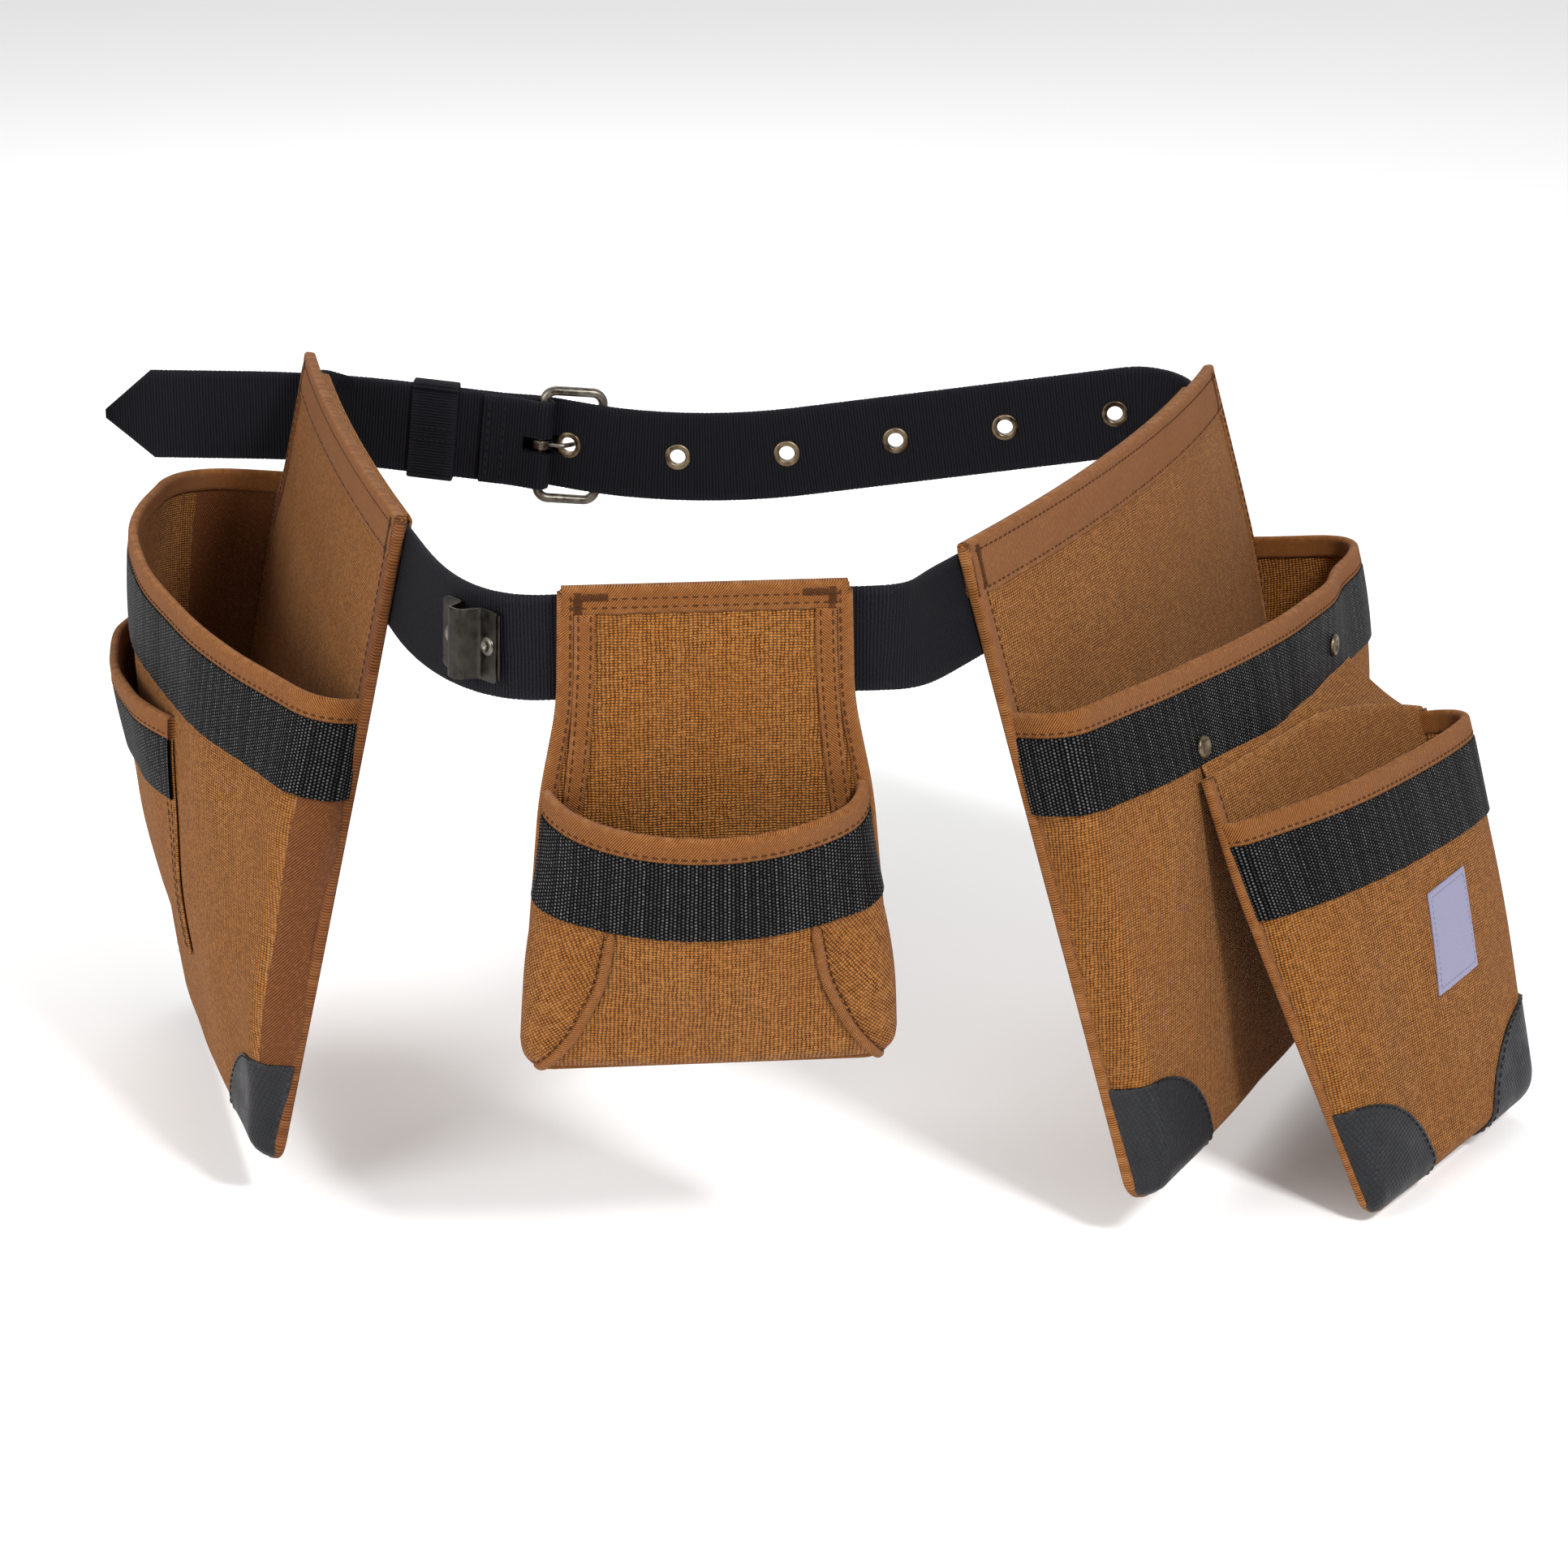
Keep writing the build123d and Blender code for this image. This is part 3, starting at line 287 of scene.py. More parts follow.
class Look:
    """A node material. Cloth is laid out by the piece's own "cloth" values: along, across, edge wear."""

    def __init__(self, name, roughness, specular=0.5, **sockets):
        self.mat = bpy.data.materials.new(name)
        self.mat.use_nodes = True
        self.tree = self.mat.node_tree
        self.tree.nodes.clear()
        self.shader = self.add("ShaderNodeBsdfPrincipled")
        out = self.add("ShaderNodeOutputMaterial")
        self.tree.links.new(self.shader.outputs["BSDF"], out.inputs["Surface"])
        self.shader.inputs["Roughness"].default_value = roughness
        self.shader.inputs["Specular IOR Level"].default_value = specular
        for socket, value in sockets.items():
            self.shader.inputs[socket.replace("_", " ")].default_value = value

    def add(self, kind, **settings):
        node = self.tree.nodes.new(kind)
        for key, value in settings.items():
            setattr(node, key, value)
        return node

    def source(self, kind, output, **settings):
        return Wire(self, self.add(kind, **settings).outputs[output])

    def plug(self, value, socket):
        if isinstance(value, Wire):
            self.tree.links.new(value.socket, socket)
        else:
            socket.default_value = value

    def mix(self, share, a, b):
        node = self.add("ShaderNodeMix", data_type="RGBA")
        for value, index in ((share, 0), (a, 6), (b, 7)):
            self.plug(value, node.inputs[index])
        return Wire(self, node.outputs[2])

    def fit(self, value, low, high, to_low=0.0, to_high=1.0):
        node = self.add("ShaderNodeMapRange")
        for v, socket in zip((value, low, high, to_low, to_high), node.inputs):
            self.plug(v, socket)
        return Wire(self, node.outputs[0])

    def noise(self, where, scale, detail=3.0, roughness=0.5):
        node = self.add("ShaderNodeTexNoise")
        for socket, value in (("Vector", where), ("Scale", scale), ("Detail", detail), ("Roughness", roughness)):
            self.plug(value, node.inputs[socket])
        return Wire(self, node.outputs[0])

    def chance(self, value):
        node = self.add("ShaderNodeTexWhiteNoise", noise_dimensions="1D")
        self.plug(value, node.inputs["W"])
        return Wire(self, node.outputs["Value"])

    def cloth(self, turn=0.0, sway=None):
        """Along, across, edge and the whole vector. A weave may be cut at an angle, and its threads sway a little."""
        vector = self.source("ShaderNodeAttribute", "Vector", attribute_name="cloth")
        parts = self.add("ShaderNodeSeparateXYZ")
        self.plug(vector, parts.inputs[0])
        a, b, edge = (Wire(self, socket) for socket in parts.outputs)
        if turn:
            c, s = math.cos(math.radians(turn)), math.sin(math.radians(turn))
            a, b = a * c + b * s, b * c - a * s
        if sway:
            scale, amount = sway
            aside = (self.noise(vector, scale, 1.0) - 0.5) * amount
            a, b = a + aside, b + aside
        return a, b, edge, vector

    def weave(self, a, b, along, across):
        """Height of a plain weave."""
        sa, sb = a.wave(along), b.wave(across)
        both = sa * sb
        return (sa.do("ABSOLUTE") + both).do("MAXIMUM", sb.do("ABSOLUTE") - both) * 0.5

    def worn(self, colour, vector, edge, scale, share, light, low=0.35):
        """The colour rubbed lighter along the edges."""
        return self.mix(edge * self.fit(self.noise(vector, scale), low, 0.75) * share, colour, light)

    def finish(self, colour, height, depth):
        bump = self.add("ShaderNodeBump")
        bump.inputs["Strength"].default_value = 1.0
        bump.inputs["Distance"].default_value = depth * MM
        self.plug(height, bump.inputs["Height"])
        self.plug(Wire(self, bump.outputs["Normal"]), self.shader.inputs["Normal"])
        self.plug(colour, self.shader.inputs["Base Color"])
        return self.mat


def duck_look(name, light, dark, turn=0.0):
    """Plain-woven cotton duck with uneven yarns, faded where it is handled."""
    look = Look(name, 0.9, 0.12, Sheen_Weight=0.04, Sheen_Roughness=0.5)
    along, across = 1.45, 0.98
    a, b, edge, vector = look.cloth(turn, sway=(0.1, 1.6))
    height = look.weave(a, b, along, across)
    yarn = math.floor(a / along)
    cell = look.chance(yarn + math.floor(b / across) * 37.7)
    slub = look.noise(vector, 0.9)
    tone = look.chance(yarn) * 0.08 + cell * 0.28 + slub * 0.6
    colour = look.mix(look.fit(height, 0.38, 0.92) ** 1.2, dark, light)
    colour = look.mix(look.fit(tone, 0.36, 0.82, 0.0, 0.42), colour, shade(204, 142, 78))
    colour = look.mix(look.fit(look.noise(vector, 0.022), 0.35, 0.7) * 0.3, colour, shade(120, 70, 26))
    colour = look.worn(colour, vector, edge, 0.35, 0.35, shade(186, 138, 92))
    return look.finish(colour, height + look.noise(vector, 5.0, 2.0) * 0.2 + slub * 0.4, 0.55)


def twill_look(name, light, dark, pitch=0.95, wear=0.35):
    """Binding tape in a fine diagonal twill."""
    look = Look(name, 0.88, 0.12, Sheen_Weight=0.05, Sheen_Roughness=0.45)
    a, b, edge, vector = look.cloth(sway=(0.12, 0.5))
    height = (a + b * 0.8).ribs(pitch) * 0.8 + b.ribs(0.6) * 0.2
    mottle = look.noise(vector, 0.6, 4.0)
    colour = look.mix(look.fit(height, 0.25, 0.95), dark, light)
    colour = look.mix(look.fit(mottle, 0.5, 0.85, 0.0, 0.3), colour, shade(172, 118, 68))
    colour = look.mix(look.fit(look.noise(vector, 0.045), 0.35, 0.7) * 0.3, colour, shade(108, 64, 28))
    colour = look.worn(colour, vector, edge, 0.3, wear, shade(172, 120, 74))
    return look.finish(colour, height + mottle * 0.5, 0.4)


def band_look():
    """Black nylon webbing: glossy floats that stand in columns across its width, with highlights painted light grey
    onto their crowns.
    """
    look = Look("band_black", 0.55, 0.05)
    column, dash = 1.4, 1.25
    a, b, _, vector = look.cloth(sway=(0.2, 0.5))
    slip = b + a.wave(column).do("SIGN") * 0.3
    height = a.ribs(column) ** 0.7 * slip.ribs(dash) ** 0.6
    yarn = look.chance(math.floor(a / column))
    # painted highlight: light-grey glints put into the colour on the crowns of the floats, stronger and weaker in
    # patches along the band
    glint_streak = look.fit(look.noise(vector, 0.5), 0.3, 0.7, 0.15, 1.0)
    painted_glint = look.fit(height, 0.6, 0.96) * glint_streak * (yarn * 0.7 + 0.3)
    colour = look.mix(look.fit(height, 0.2, 0.9), shade(1, 1, 2), shade(10, 10, 11))
    # the painted glints are mixed in as a light grey
    colour = look.mix(painted_glint * 0.42, colour, shade(178, 178, 180))
    return look.finish(colour, height, 0.6)


def belt_look():
    """Ribbed black belt webbing: close upright ribs, each of small slanted floats."""
    look = Look("belt_webbing_black", 0.7, 0.07)
    rib, dash = 1.25, 0.95
    a, b, edge, vector = look.cloth(sway=(0.15, 0.5))
    slant = b + a.wave(rib).do("SIGN") * a * 0.8
    height = a.ribs(rib) * 0.6 + slant.ribs(dash) * 0.4
    fluff = look.noise(vector, 2.5)
    colour = look.mix(look.fit(height, 0.3, 0.95), shade(3, 3, 4), shade(27, 27, 32))
    colour = look.mix(look.fit(fluff, 0.5, 0.85, 0.0, 0.3), colour, shade(62, 62, 68))
    colour = look.mix(edge * 0.2, colour, shade(50, 50, 56))
    return look.finish(colour, height + fluff * 0.4, 0.5)


def patch_look():
    """Tough coated patch with an embossed basket grain."""
    look = Look("patch_black", 0.5, 0.3)
    a, b, edge, vector = look.cloth(20.0, sway=(0.3, 0.5))
    height = look.weave(a, b, 1.9, 1.5)
    colour = look.mix(look.fit(height, 0.1, 0.9), shade(7, 8, 11), shade(22, 23, 28))
    colour = look.worn(colour, vector, edge, 0.5, 0.35, shade(80, 80, 86), low=0.4)
    look.plug(look.fit(look.noise(vector, 0.12), 0.3, 0.7, 0.4, 0.6), look.shader.inputs["Roughness"])
    return look.finish(colour, height + look.noise(vector, 2.2) * 0.5, 0.3)


def metal_look(name, bright, dull, roughness):
    """Antique plated metal: dark in its hollows, rubbed bright where it is touched."""
    look = Look(name, roughness, Metallic=1.0)
    vector = look.source("ShaderNodeTexCoord", "Object")
    tarnish = look.noise(vector, 260.0, 4.0, 0.6)
    colour = look.mix(look.fit(tarnish + look.noise(vector, 60.0), 0.75, 1.25), dull, bright)
    look.plug(look.fit(tarnish, 0.3, 0.7, roughness - 0.08, roughness + 0.2), look.shader.inputs["Roughness"])
    return look.finish(colour, look.noise(vector, 900.0), 0.03)


def thread_look(name, dark, light):
    """Twisted sewing thread."""
    look = Look(name, 0.75, 0.15)
    a, b, _, vector = look.cloth()
    twist = (a + b).ribs(0.45)
    colour = look.mix(look.fit(twist + look.noise(vector, 0.5, 2.0), 0.4, 1.4), dark, light)
    return look.finish(colour, twist, 0.06)


def label_look():
    """Woven satin label."""
    look = Look("label_grey", 0.7, Sheen_Weight=0.15)
    a, _, _, vector = look.cloth(45.0)
    rib, speck = a.ribs(0.45), look.noise(vector, 1.5)
    colour = look.mix(look.fit(rib, 0.1, 0.9), shade(106, 104, 132), shade(134, 131, 160))
    colour = look.mix(look.fit(speck, 0.5, 0.8, 0.0, 0.3), colour, shade(156, 154, 180))
    return look.finish(colour, rib + speck * 0.3, 0.1)


DUCK = duck_look("duck_brown", shade(172, 106, 40), shade(52, 28, 7))
DUCK_BIAS = duck_look("duck_brown_bias", shade(168, 103, 40), shade(56, 30, 8), turn=32.0)
TWILL = twill_look("binding_brown", shade(146, 90, 42), shade(72, 40, 14))
GUSSET_TWILL = twill_look("gusset_brown", shade(118, 68, 34), shade(56, 30, 14), pitch=1.2, wear=0.1)
BAND = band_look()
BELT = belt_look()
PATCH = patch_look()
NICKEL = metal_look("antique_nickel", shade(132, 126, 116), shade(54, 50, 45), 0.3)
PLATE = metal_look("plate_nickel", shade(66, 62, 57), shade(40, 37, 34), 0.36)
BRASS = metal_look("antique_brass", shade(150, 134, 108), shade(64, 54, 42), 0.34)
BROWN_THREAD = thread_look("thread_brown", shade(36, 18, 8), shade(86, 50, 24))
BLACK_THREAD = thread_look("thread_black", shade(8, 8, 10), shade(30, 30, 33))
GREY_THREAD = thread_look("thread_grey", shade(96, 98, 112), shade(136, 138, 152))
LABEL = label_look()


# ---- meshes ---------------------------------------------------------------------------------------
def quads(index):
    """Faces of a grid of point numbers."""
    corners = [index[:-1, :-1], index[1:, :-1], index[1:, 1:], index[:-1, 1:]]
    return np.stack(corners, axis=-1).reshape(-1, 4)


def tube(rings, sides, joined=False):
    """Faces round rings of points, and from the last ring back to the first one if it is joined."""
    index = np.arange(rings * sides).reshape(rings, sides)
    wrapped = np.hstack([index, index[:, :1]])
    return quads(np.vstack([wrapped, wrapped[:1]]) if joined else wrapped)


def add_mesh(name, points, faces, cloth, material, body, nodes=()):
    """A closed mesh in millimetres as a piece that rides on a body, if one is named, and stands for CAD nodes."""
    points = np.asarray(points, float).reshape(-1, 3)
    p, q, r, s = (points[faces[:, k]] for k in range(4))
    middle = points.mean(axis=0)
    volume = np.sum(np.cross(q - middle, r - middle) * (p - middle))
    volume += np.sum(np.cross(r - middle, s - middle) * (p - middle))
    if volume < 0:
        faces = faces[:, ::-1]
    mesh = bpy.data.meshes.new(name)
    mesh.vertices.add(len(points))
    mesh.vertices.foreach_set("co", (points * MM).astype(np.float32).ravel())
    mesh.loops.add(faces.size)
    mesh.loops.foreach_set("vertex_index", faces.astype(np.int32).ravel())
    mesh.polygons.add(len(faces))
    mesh.polygons.foreach_set("loop_start", np.arange(0, faces.size, 4, dtype=np.int32))
    mesh.update(calc_edges=True)
    mesh.validate()
    layout = mesh.attributes.new("cloth", "FLOAT_VECTOR", "POINT")
    layout.data.foreach_set("vector", np.broadcast_to(cloth, points.shape).astype(np.float32).ravel())
    mesh.shade_smooth()
    mesh.materials.append(material)
    piece = bpy.data.objects.new(name, mesh)
    bpy.context.scene.collection.objects.link(piece)
    if body:
        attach(piece, body)
    if nodes:
        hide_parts(*nodes)
    return piece


def lengths(points, axis):
    """Length run along one way of a grid."""
    steps = np.linalg.norm(np.diff(points, axis=axis), axis=-1)
    start = np.zeros_like(np.take(steps, [0], axis=axis))
    return np.concatenate([start, np.cumsum(steps, axis=axis)], axis=axis)


def slab(name, points, outward, up, down, material, body, nodes=(), rounding=1.2, cloth=None):
    """A sheet with a thickness and rounded edges, from a grid of places on its outer face."""
    n, m = points.shape[:2]
    along, across = lengths(points, 0), lengths(points, 1)
    du = np.minimum(along, along[-1:] - along)
    dv = np.minimum(across, across[:, -1:] - across)
    round_u, round_v = (np.clip(1 - d / rounding, 0, 1) for d in (du, dv))
    swell = np.sqrt((1 - round_u**2) * (1 - round_v**2))
    middle, half = (up - down) / 2, (up + down) / 2
    top = points + outward * (middle + half * swell)[..., None]
    low = points + outward * (middle - half * swell)[..., None]
    if cloth is None:
        cloth = (along - along[n // 2], across)
    wear = np.clip(1 - np.minimum(du, dv) / 3.5, 0, 1)
    lay = np.stack(np.broadcast_arrays(*cloth, wear), axis=-1)
    index = np.arange(n * m).reshape(n, m)
    under = index.copy()
    under[1:-1, 1:-1] = n * m + np.arange((n - 2) * (m - 2)).reshape(n - 2, m - 2)
    faces = np.vstack([quads(index), quads(under)[:, ::-1]])
    both, both_lay = (np.vstack([a.reshape(-1, 3), b[1:-1, 1:-1].reshape(-1, 3)]) for a, b in ((top, low), (lay, lay)))
    return add_mesh(name, both, faces, both_lay, material, body, nodes)


def ring(low, high, under, over, radius, step=1.5):
    """Section of a tape with rounded edges: across from low to high, thick from under to over."""
    radius = min(radius, (over - under) / 2, (high - low) / 2)
    corners = []
    for w, o, start in ((high - radius, over - radius, 0), (low + radius, over - radius, 90),
                        (low + radius, under + radius, 180), (high - radius, under + radius, 270)):
        for turn in np.radians(start + np.linspace(0, 90, 5)):
            corners.append((w + radius * math.cos(turn), o + radius * math.sin(turn)))
    return filled(corners, step)


def filled(corners, step):
    """A closed line with more points put in between its corners."""
    corners = np.array(corners)
    points = []
    for corner, following in zip(corners, np.roll(corners, -1, axis=0)):
        count = max(1, int(np.linalg.norm(following - corner) / step))
        points += [corner + (following - corner) * k / count for k in range(count)]
    return np.array(points)


def sweep(name, place, us, section, material, body, nodes=(), keep=None, joined=False):
    """A section carried along a way. place(u, w) gives points and the directions that they grow in."""
    w, o = section.T
    base, outward = place(*np.meshgrid(us, w, indexing="ij"))
    points = base + outward * o[None, :, None]
    n, m = points.shape[:2]
    along = lengths(base, 0).mean(axis=1)
    girth = np.concatenate([[0], np.cumsum(np.hypot(np.diff(w), np.diff(o)))])
    edge = np.clip(1 - np.minimum(w - w.min(), w.max() - w) / 2.5, 0, 1)
    lay = np.stack(np.broadcast_arrays(along[:, None], (w + girth * 0.001)[None], edge[None]), axis=-1)
    points, lay = points.reshape(-1, 3), lay.reshape(-1, 3)
    faces = tube(n, m, joined)
    if keep is not None:
        faces = faces[keep(points[faces].mean(axis=1))]
    if not joined:
        half = m // 2
        for end in (0, n - 1):
            rim = np.arange(m) + end * m
            other = rim[::-1][:half]
            cap = np.stack([rim[: half - 1], rim[1:half], other[1:], other[:-1]], axis=-1)
            faces = np.vstack([faces, cap if end else cap[:, ::-1]])
    return add_mesh(name, points, faces, lay, material, body, nodes)


def strap(name, path, width, thick, body, nodes, keep=None, joined=False, shape=None, section=None):
    """Webbing along a path through the middle of its thickness; its selvedges are a little uneven."""
    half = width / 2
    if section is None:
        section = ring(-half, half, -thick / 2, thick / 2, thick * 0.42, step=2.6)

    def place(u, w):
        o, y, z = path.read(u)
        share = 1.0 if shape is None else shape(u)
        teeth = 0.22 * np.abs(np.sin(np.pi * u / 2.1)) * np.sign(w) * (np.abs(w) > half - 1.5)
        return o + z * ((w + teeth) * share)[..., None], -y

    us = np.linspace(0, path.s[-1], max(4, int(path.s[-1] / 0.95)) + 1)
    return sweep(name, place, us[:-1] if joined else us, section, BELT, body, nodes, keep, joined)


def lathe(name, seats, section, material, body, nodes, sides=36):
    """Round pieces turned about each place's y; a section is (radius, out), closed round a hole or from the axis."""
    turns = np.linspace(0, 2 * np.pi, sides, endpoint=False)
    radius, out = np.array(section).T
    points = [seat.at(np.outer(np.cos(turns), radius), -out, np.outer(np.sin(turns), radius)) for seat in seats]
    faces = [tube(sides, len(out), True) + k * sides * len(out) for k in range(len(seats))]
    return add_mesh(name, np.array(points), np.vstack(faces), 0, material, body, nodes)


def half_round(centre, radii, middle_out, start, stop, count):
    """Part of a lathe section: an elliptic arc of (radius, out)."""
    turn = np.linspace(start, stop, count)
    return np.stack([centre + radii[0] * np.sin(turn), middle_out + radii[1] * np.cos(turn)], axis=-1)


def pipe(name, points, radii, side, body, nodes, joined=False, sides=18):
    """A round bar along points that lie in one plane; side is that plane's normal."""
    points = np.asarray(points, float)
    if joined:
        tangent = unit(np.roll(points, -1, axis=0) - np.roll(points, 1, axis=0))
    else:
        tangent = unit(np.gradient(points, axis=0))
    across = np.cross(tangent, side)
    turns = np.linspace(0, 2 * np.pi, sides, endpoint=False)[None, :, None]
    outward = across[:, None] * np.cos(turns) + np.asarray(side) * np.sin(turns)
    skin = points[:, None] + outward * np.broadcast_to(radii, len(points))[:, None, None]
    return add_mesh(name, skin, tube(len(points), sides, joined), 0, NICKEL, body, nodes)


STITCH_SPAN = np.array([-0.5, -0.46, -0.28, 0.0, 0.28, 0.46, 0.5])
STITCH_GIRTH = np.array([0.05, 0.6, 1.0, 1.0, 1.0, 0.6, 0.05])
STITCH_TURNS = np.radians(np.arange(0, 360, 60))


def stitches(name, rows, material, body, length=2.5, gap=0.9, radius=0.36, across=None):
    """Small sewn stitches along rows of places and outward directions, or crosswise and as long as across."""
    one = tube(len(STITCH_SPAN), len(STITCH_TURNS))
    block = len(STITCH_SPAN) * len(STITCH_TURNS)
    points, lay, faces, first = [], [], [], 0
    size = across or length
    lift = radius * (0.35 - 0.8 * (2 * STITCH_SPAN) ** 4)
    wide = (radius * STITCH_GIRTH[:, None] * np.cos(STITCH_TURNS))[..., None]
    tall = (radius * STITCH_GIRTH[:, None] * np.sin(STITCH_TURNS))[..., None]
    for place, outward in rows:
        run = lengths(place, 0)
        count = int(run[-1] / (length + gap))
        if count < 1:
            continue
        mids = (np.arange(count) + 0.5) * run[-1] / count
        centre, ahead, back = (between(mids + shift, run, place) for shift in (0, 0.5, -0.5))
        normal = unit(between(mids, run, outward))
        tangent = unit(ahead - back)
        if across:
            tangent = unit(np.cross(normal, tangent))
        side, normal = (v[:, None, None] for v in (np.cross(normal, tangent), normal))
        spine = centre[:, None] + tangent[:, None] * (STITCH_SPAN * size)[:, None] + normal[:, 0] * lift[:, None]
        points.append((spine[:, :, None] + side * wide + normal * tall).reshape(-1, 3))
        reach = (mids[:, None] + STITCH_SPAN * size)[..., None]
        lay.append(np.stack(np.broadcast_arrays(reach, STITCH_TURNS, 0), axis=-1).reshape(-1, 3))
        faces.append((one + first + (np.arange(count) * block)[:, None, None]).reshape(-1, 4))
        first += count * block
    return add_mesh(name, np.vstack(points), np.vstack(faces), np.vstack(lay), material, body)


def near_ends(low, high, step, rounding=1.2):
    """Values from low to high, closer together near both ends."""
    count = max(3, int((high - low - 2 * rounding) / step))
    first = rounding * np.array([0, 0.08, 0.3, 0.6])
    return np.concatenate([low + first, np.linspace(low + rounding, high - rounding, count), high - first[::-1]])


# ---- belt -----------------------------------------------------------------------------------------
FOLD_TIP, FOLD_R, FOLD_OUT = 25.0, 3.6, 3.85
EYELET_HOLE_R = 4.4
TONGUE_SLOT_HALVES = 7.5, 5.5, 3.0


def fold_seats():
    """The folded end: from its tip along the strap's inner side, round the buckle's bar and back."""
    seats = [Seat(RUN.at(BAR_RUN + reach, FOLD_OUT, 0), -RUN.x, RUN.z) for reach in (FOLD_TIP, 14.0)]
    for turn in np.radians(np.arange(80, 300, 20)):
        place = RUN.at(BAR_RUN + FOLD_R * math.cos(turn), BAR_IN + FOLD_R * math.sin(turn), 0)
        seats.append(Seat(place, RUN.turned((-math.sin(turn), math.cos(turn), 0)), RUN.z))
    return seats


def belt_seats():
    """Places on the webbing's outer face, from the buckle round the waist and through the buckle to the free end."""
    run_end, fall_end = RUN.moved(112), FALL.moved(-137)
    left = [on_arc(LEFT, LEFT_R, reach) for reach in np.linspace(LEFT_FROM, LEFT_TO, 6)]
    right = [on_arc(RIGHT, RIGHT_R, reach) for reach in np.linspace(RIGHT_FROM, RIGHT_TO, 11)]
    front_left, front_right = CENTRE.moved(-FRONT_HALF), CENTRE.moved(FRONT_HALF)
    seats = [RUN.moved(BAR_RUN + 14.0), run_end] + bend(run_end, left[0], 36, 9) + left
    seats += LEFT_BEND + [front_left, front_right]
    seats += bend(front_right, right[0], 60, 9) + right
    seats += bend(right[-1], fall_end, 44, 9, hold=1) + [fall_end]
    seats += [on_sag(STRAP_LOW, STRAP_R, -FALL_SLOPE + (FALL_SLOPE + RUN_SLOPE) * i / 5) for i in range(5)]
    seats += [STRAP_IN] + bend(STRAP_IN, STRAP_EYE, 21, 4) + [STRAP_EYE]
    seats += bend(STRAP_EYE, STRAP_OVER, 13, 3) + [STRAP_OVER] + bend(STRAP_OVER, STRAP_DOWN, 18, 4) + [STRAP_DOWN]
    middle = TAIL_LOW.at(0, 0, -TAIL_DROP_R)
    for turn in np.radians(np.linspace(0, RUN_SLOPE, 6)):
        along = TAIL_LOW.x * math.cos(turn) - TAIL_LOW.z * math.sin(turn)
        up = TAIL_LOW.z * math.cos(turn) + TAIL_LOW.x * math.sin(turn)
        seats.append(Seat(middle + up * TAIL_DROP_R, along, up))
    return seats + [seats[-1].moved(44), seats[-1].moved(61)]


MIDDLES = [Seat(s.at(0, WEB_T / 2, 0), s.x, s.z) for s in belt_seats()]
BELT_PATH = Path(fold_seats() + MIDDLES, 0.65)


def clear_of_holes(middle):
    """Faces of the webbing that aren't in an eyelet or in the slot for the tongue."""
    kept = np.ones(len(middle), bool)
    for seat in EYELETS:
        x, y, z = seat.local(middle)
        kept &= ~((np.hypot(x, z) < EYELET_HOLE_R) & (np.abs(y) < 4))
    in_slot = np.abs(BUCKLE.local(middle)) < np.array(TONGUE_SLOT_HALVES)[:, None]
    return kept & ~in_slot.all(axis=0)


def tail_shape(u):
    """The strap's free end narrows to a blunt point."""
    return 0.1 + 0.9 * np.clip((BELT_PATH.s[-1] - u) / 20.0, 0, 1)


def belt_section():
    """The webbing's section, with finer steps where the eyelets and the tongue's slot are cut out."""
    half, edge = WEB_W / 2, WEB_T / 2
    across = np.concatenate([
        np.arange(-half + 1.4, -7.5, 2.6), np.arange(-7.2, 7.3, 0.8), np.arange(7.8, half - 1.3, 2.6)])
    turns = np.radians(np.linspace(90, -90, 7))
    end = np.stack([half - 1.0 + np.cos(turns), np.sin(turns) * edge], axis=-1)
    top = np.stack([across, np.full(len(across), edge)], axis=-1)
    return np.vstack([top, end, top[::-1] * (1, -1), -end])


strap("belt_strap", BELT_PATH, WEB_W, WEB_T, "belt", ["belt_webbing"], clear_of_holes, shape=tail_shape,
      section=belt_section())

EYELET_SECTION = np.vstack([
    half_round(4.45, (1.15, 0.5), 0.1, -np.pi / 2, np.pi / 2, 9),
    [[5.4, 0.0], [4.2, -0.02], [4.2, -WEB_T + 0.02], [5.4, -WEB_T]],
    half_round(4.45, (-1.15, -0.5), -WEB_T - 0.1, -np.pi / 2, np.pi / 2, 9),
])
lathe("belt_eyelets", EYELETS, EYELET_SECTION, BRASS, "belt", ["eyelet_grommets", "eyelet_washers"])

# stitches that hold the folded end
heights = np.linspace(-16, 16, 40)
fold_inner, inward = FOLD_OUT + WEB_T / 2, np.tile(RUN.y, (40, 1))
fold_rows = [(RUN.at(BAR_RUN + reach, fold_inner, heights), inward) for reach in (22.5, 16.0)]
stitches("belt_fold_stitches", fold_rows, BLACK_THREAD, "belt", radius=0.4)

# ---- keeper ---------------------------------------------------------------------------------------
KEEPER_T, KEEPER_CORNER = 1.6, 1.9
keeper_mid = (WEB_T - TAIL_OUT) / 2
half_t, half_h = (WEB_T + TAIL_OUT + 1.0 + KEEPER_T) / 2, (WEB_W + 1.0 + KEEPER_T) / 2
keeper_seats = []
for cy, cz, start in ((1, 1, 0), (-1, 1, 90), (-1, -1, 180), (1, -1, 270)):
    for angle in np.radians(start + np.array([0, 30, 60, 90])):
        y = keeper_mid + cy * (half_t - KEEPER_CORNER) + KEEPER_CORNER * math.cos(angle)
        z = cz * (half_h - KEEPER_CORNER) + KEEPER_CORNER * math.sin(angle)
        keeper_seats.append(Seat(KEEPER.at(0, y, z), KEEPER.turned((0, -math.sin(angle), math.cos(angle))), KEEPER.x))
keeper_path = Path(keeper_seats + keeper_seats[:1], 0.7)
strap("keeper_band", keeper_path, 19.0, KEEPER_T, "keeper", ["keeper_loop"], joined=True)
join = np.linspace(-8.5, 8.5, 12)
laps = [(KEEPER.at(join, keeper_mid + half_t + 0.85, z), np.tile(KEEPER.y, (12, 1))) for z in (2.0, -3.5)]
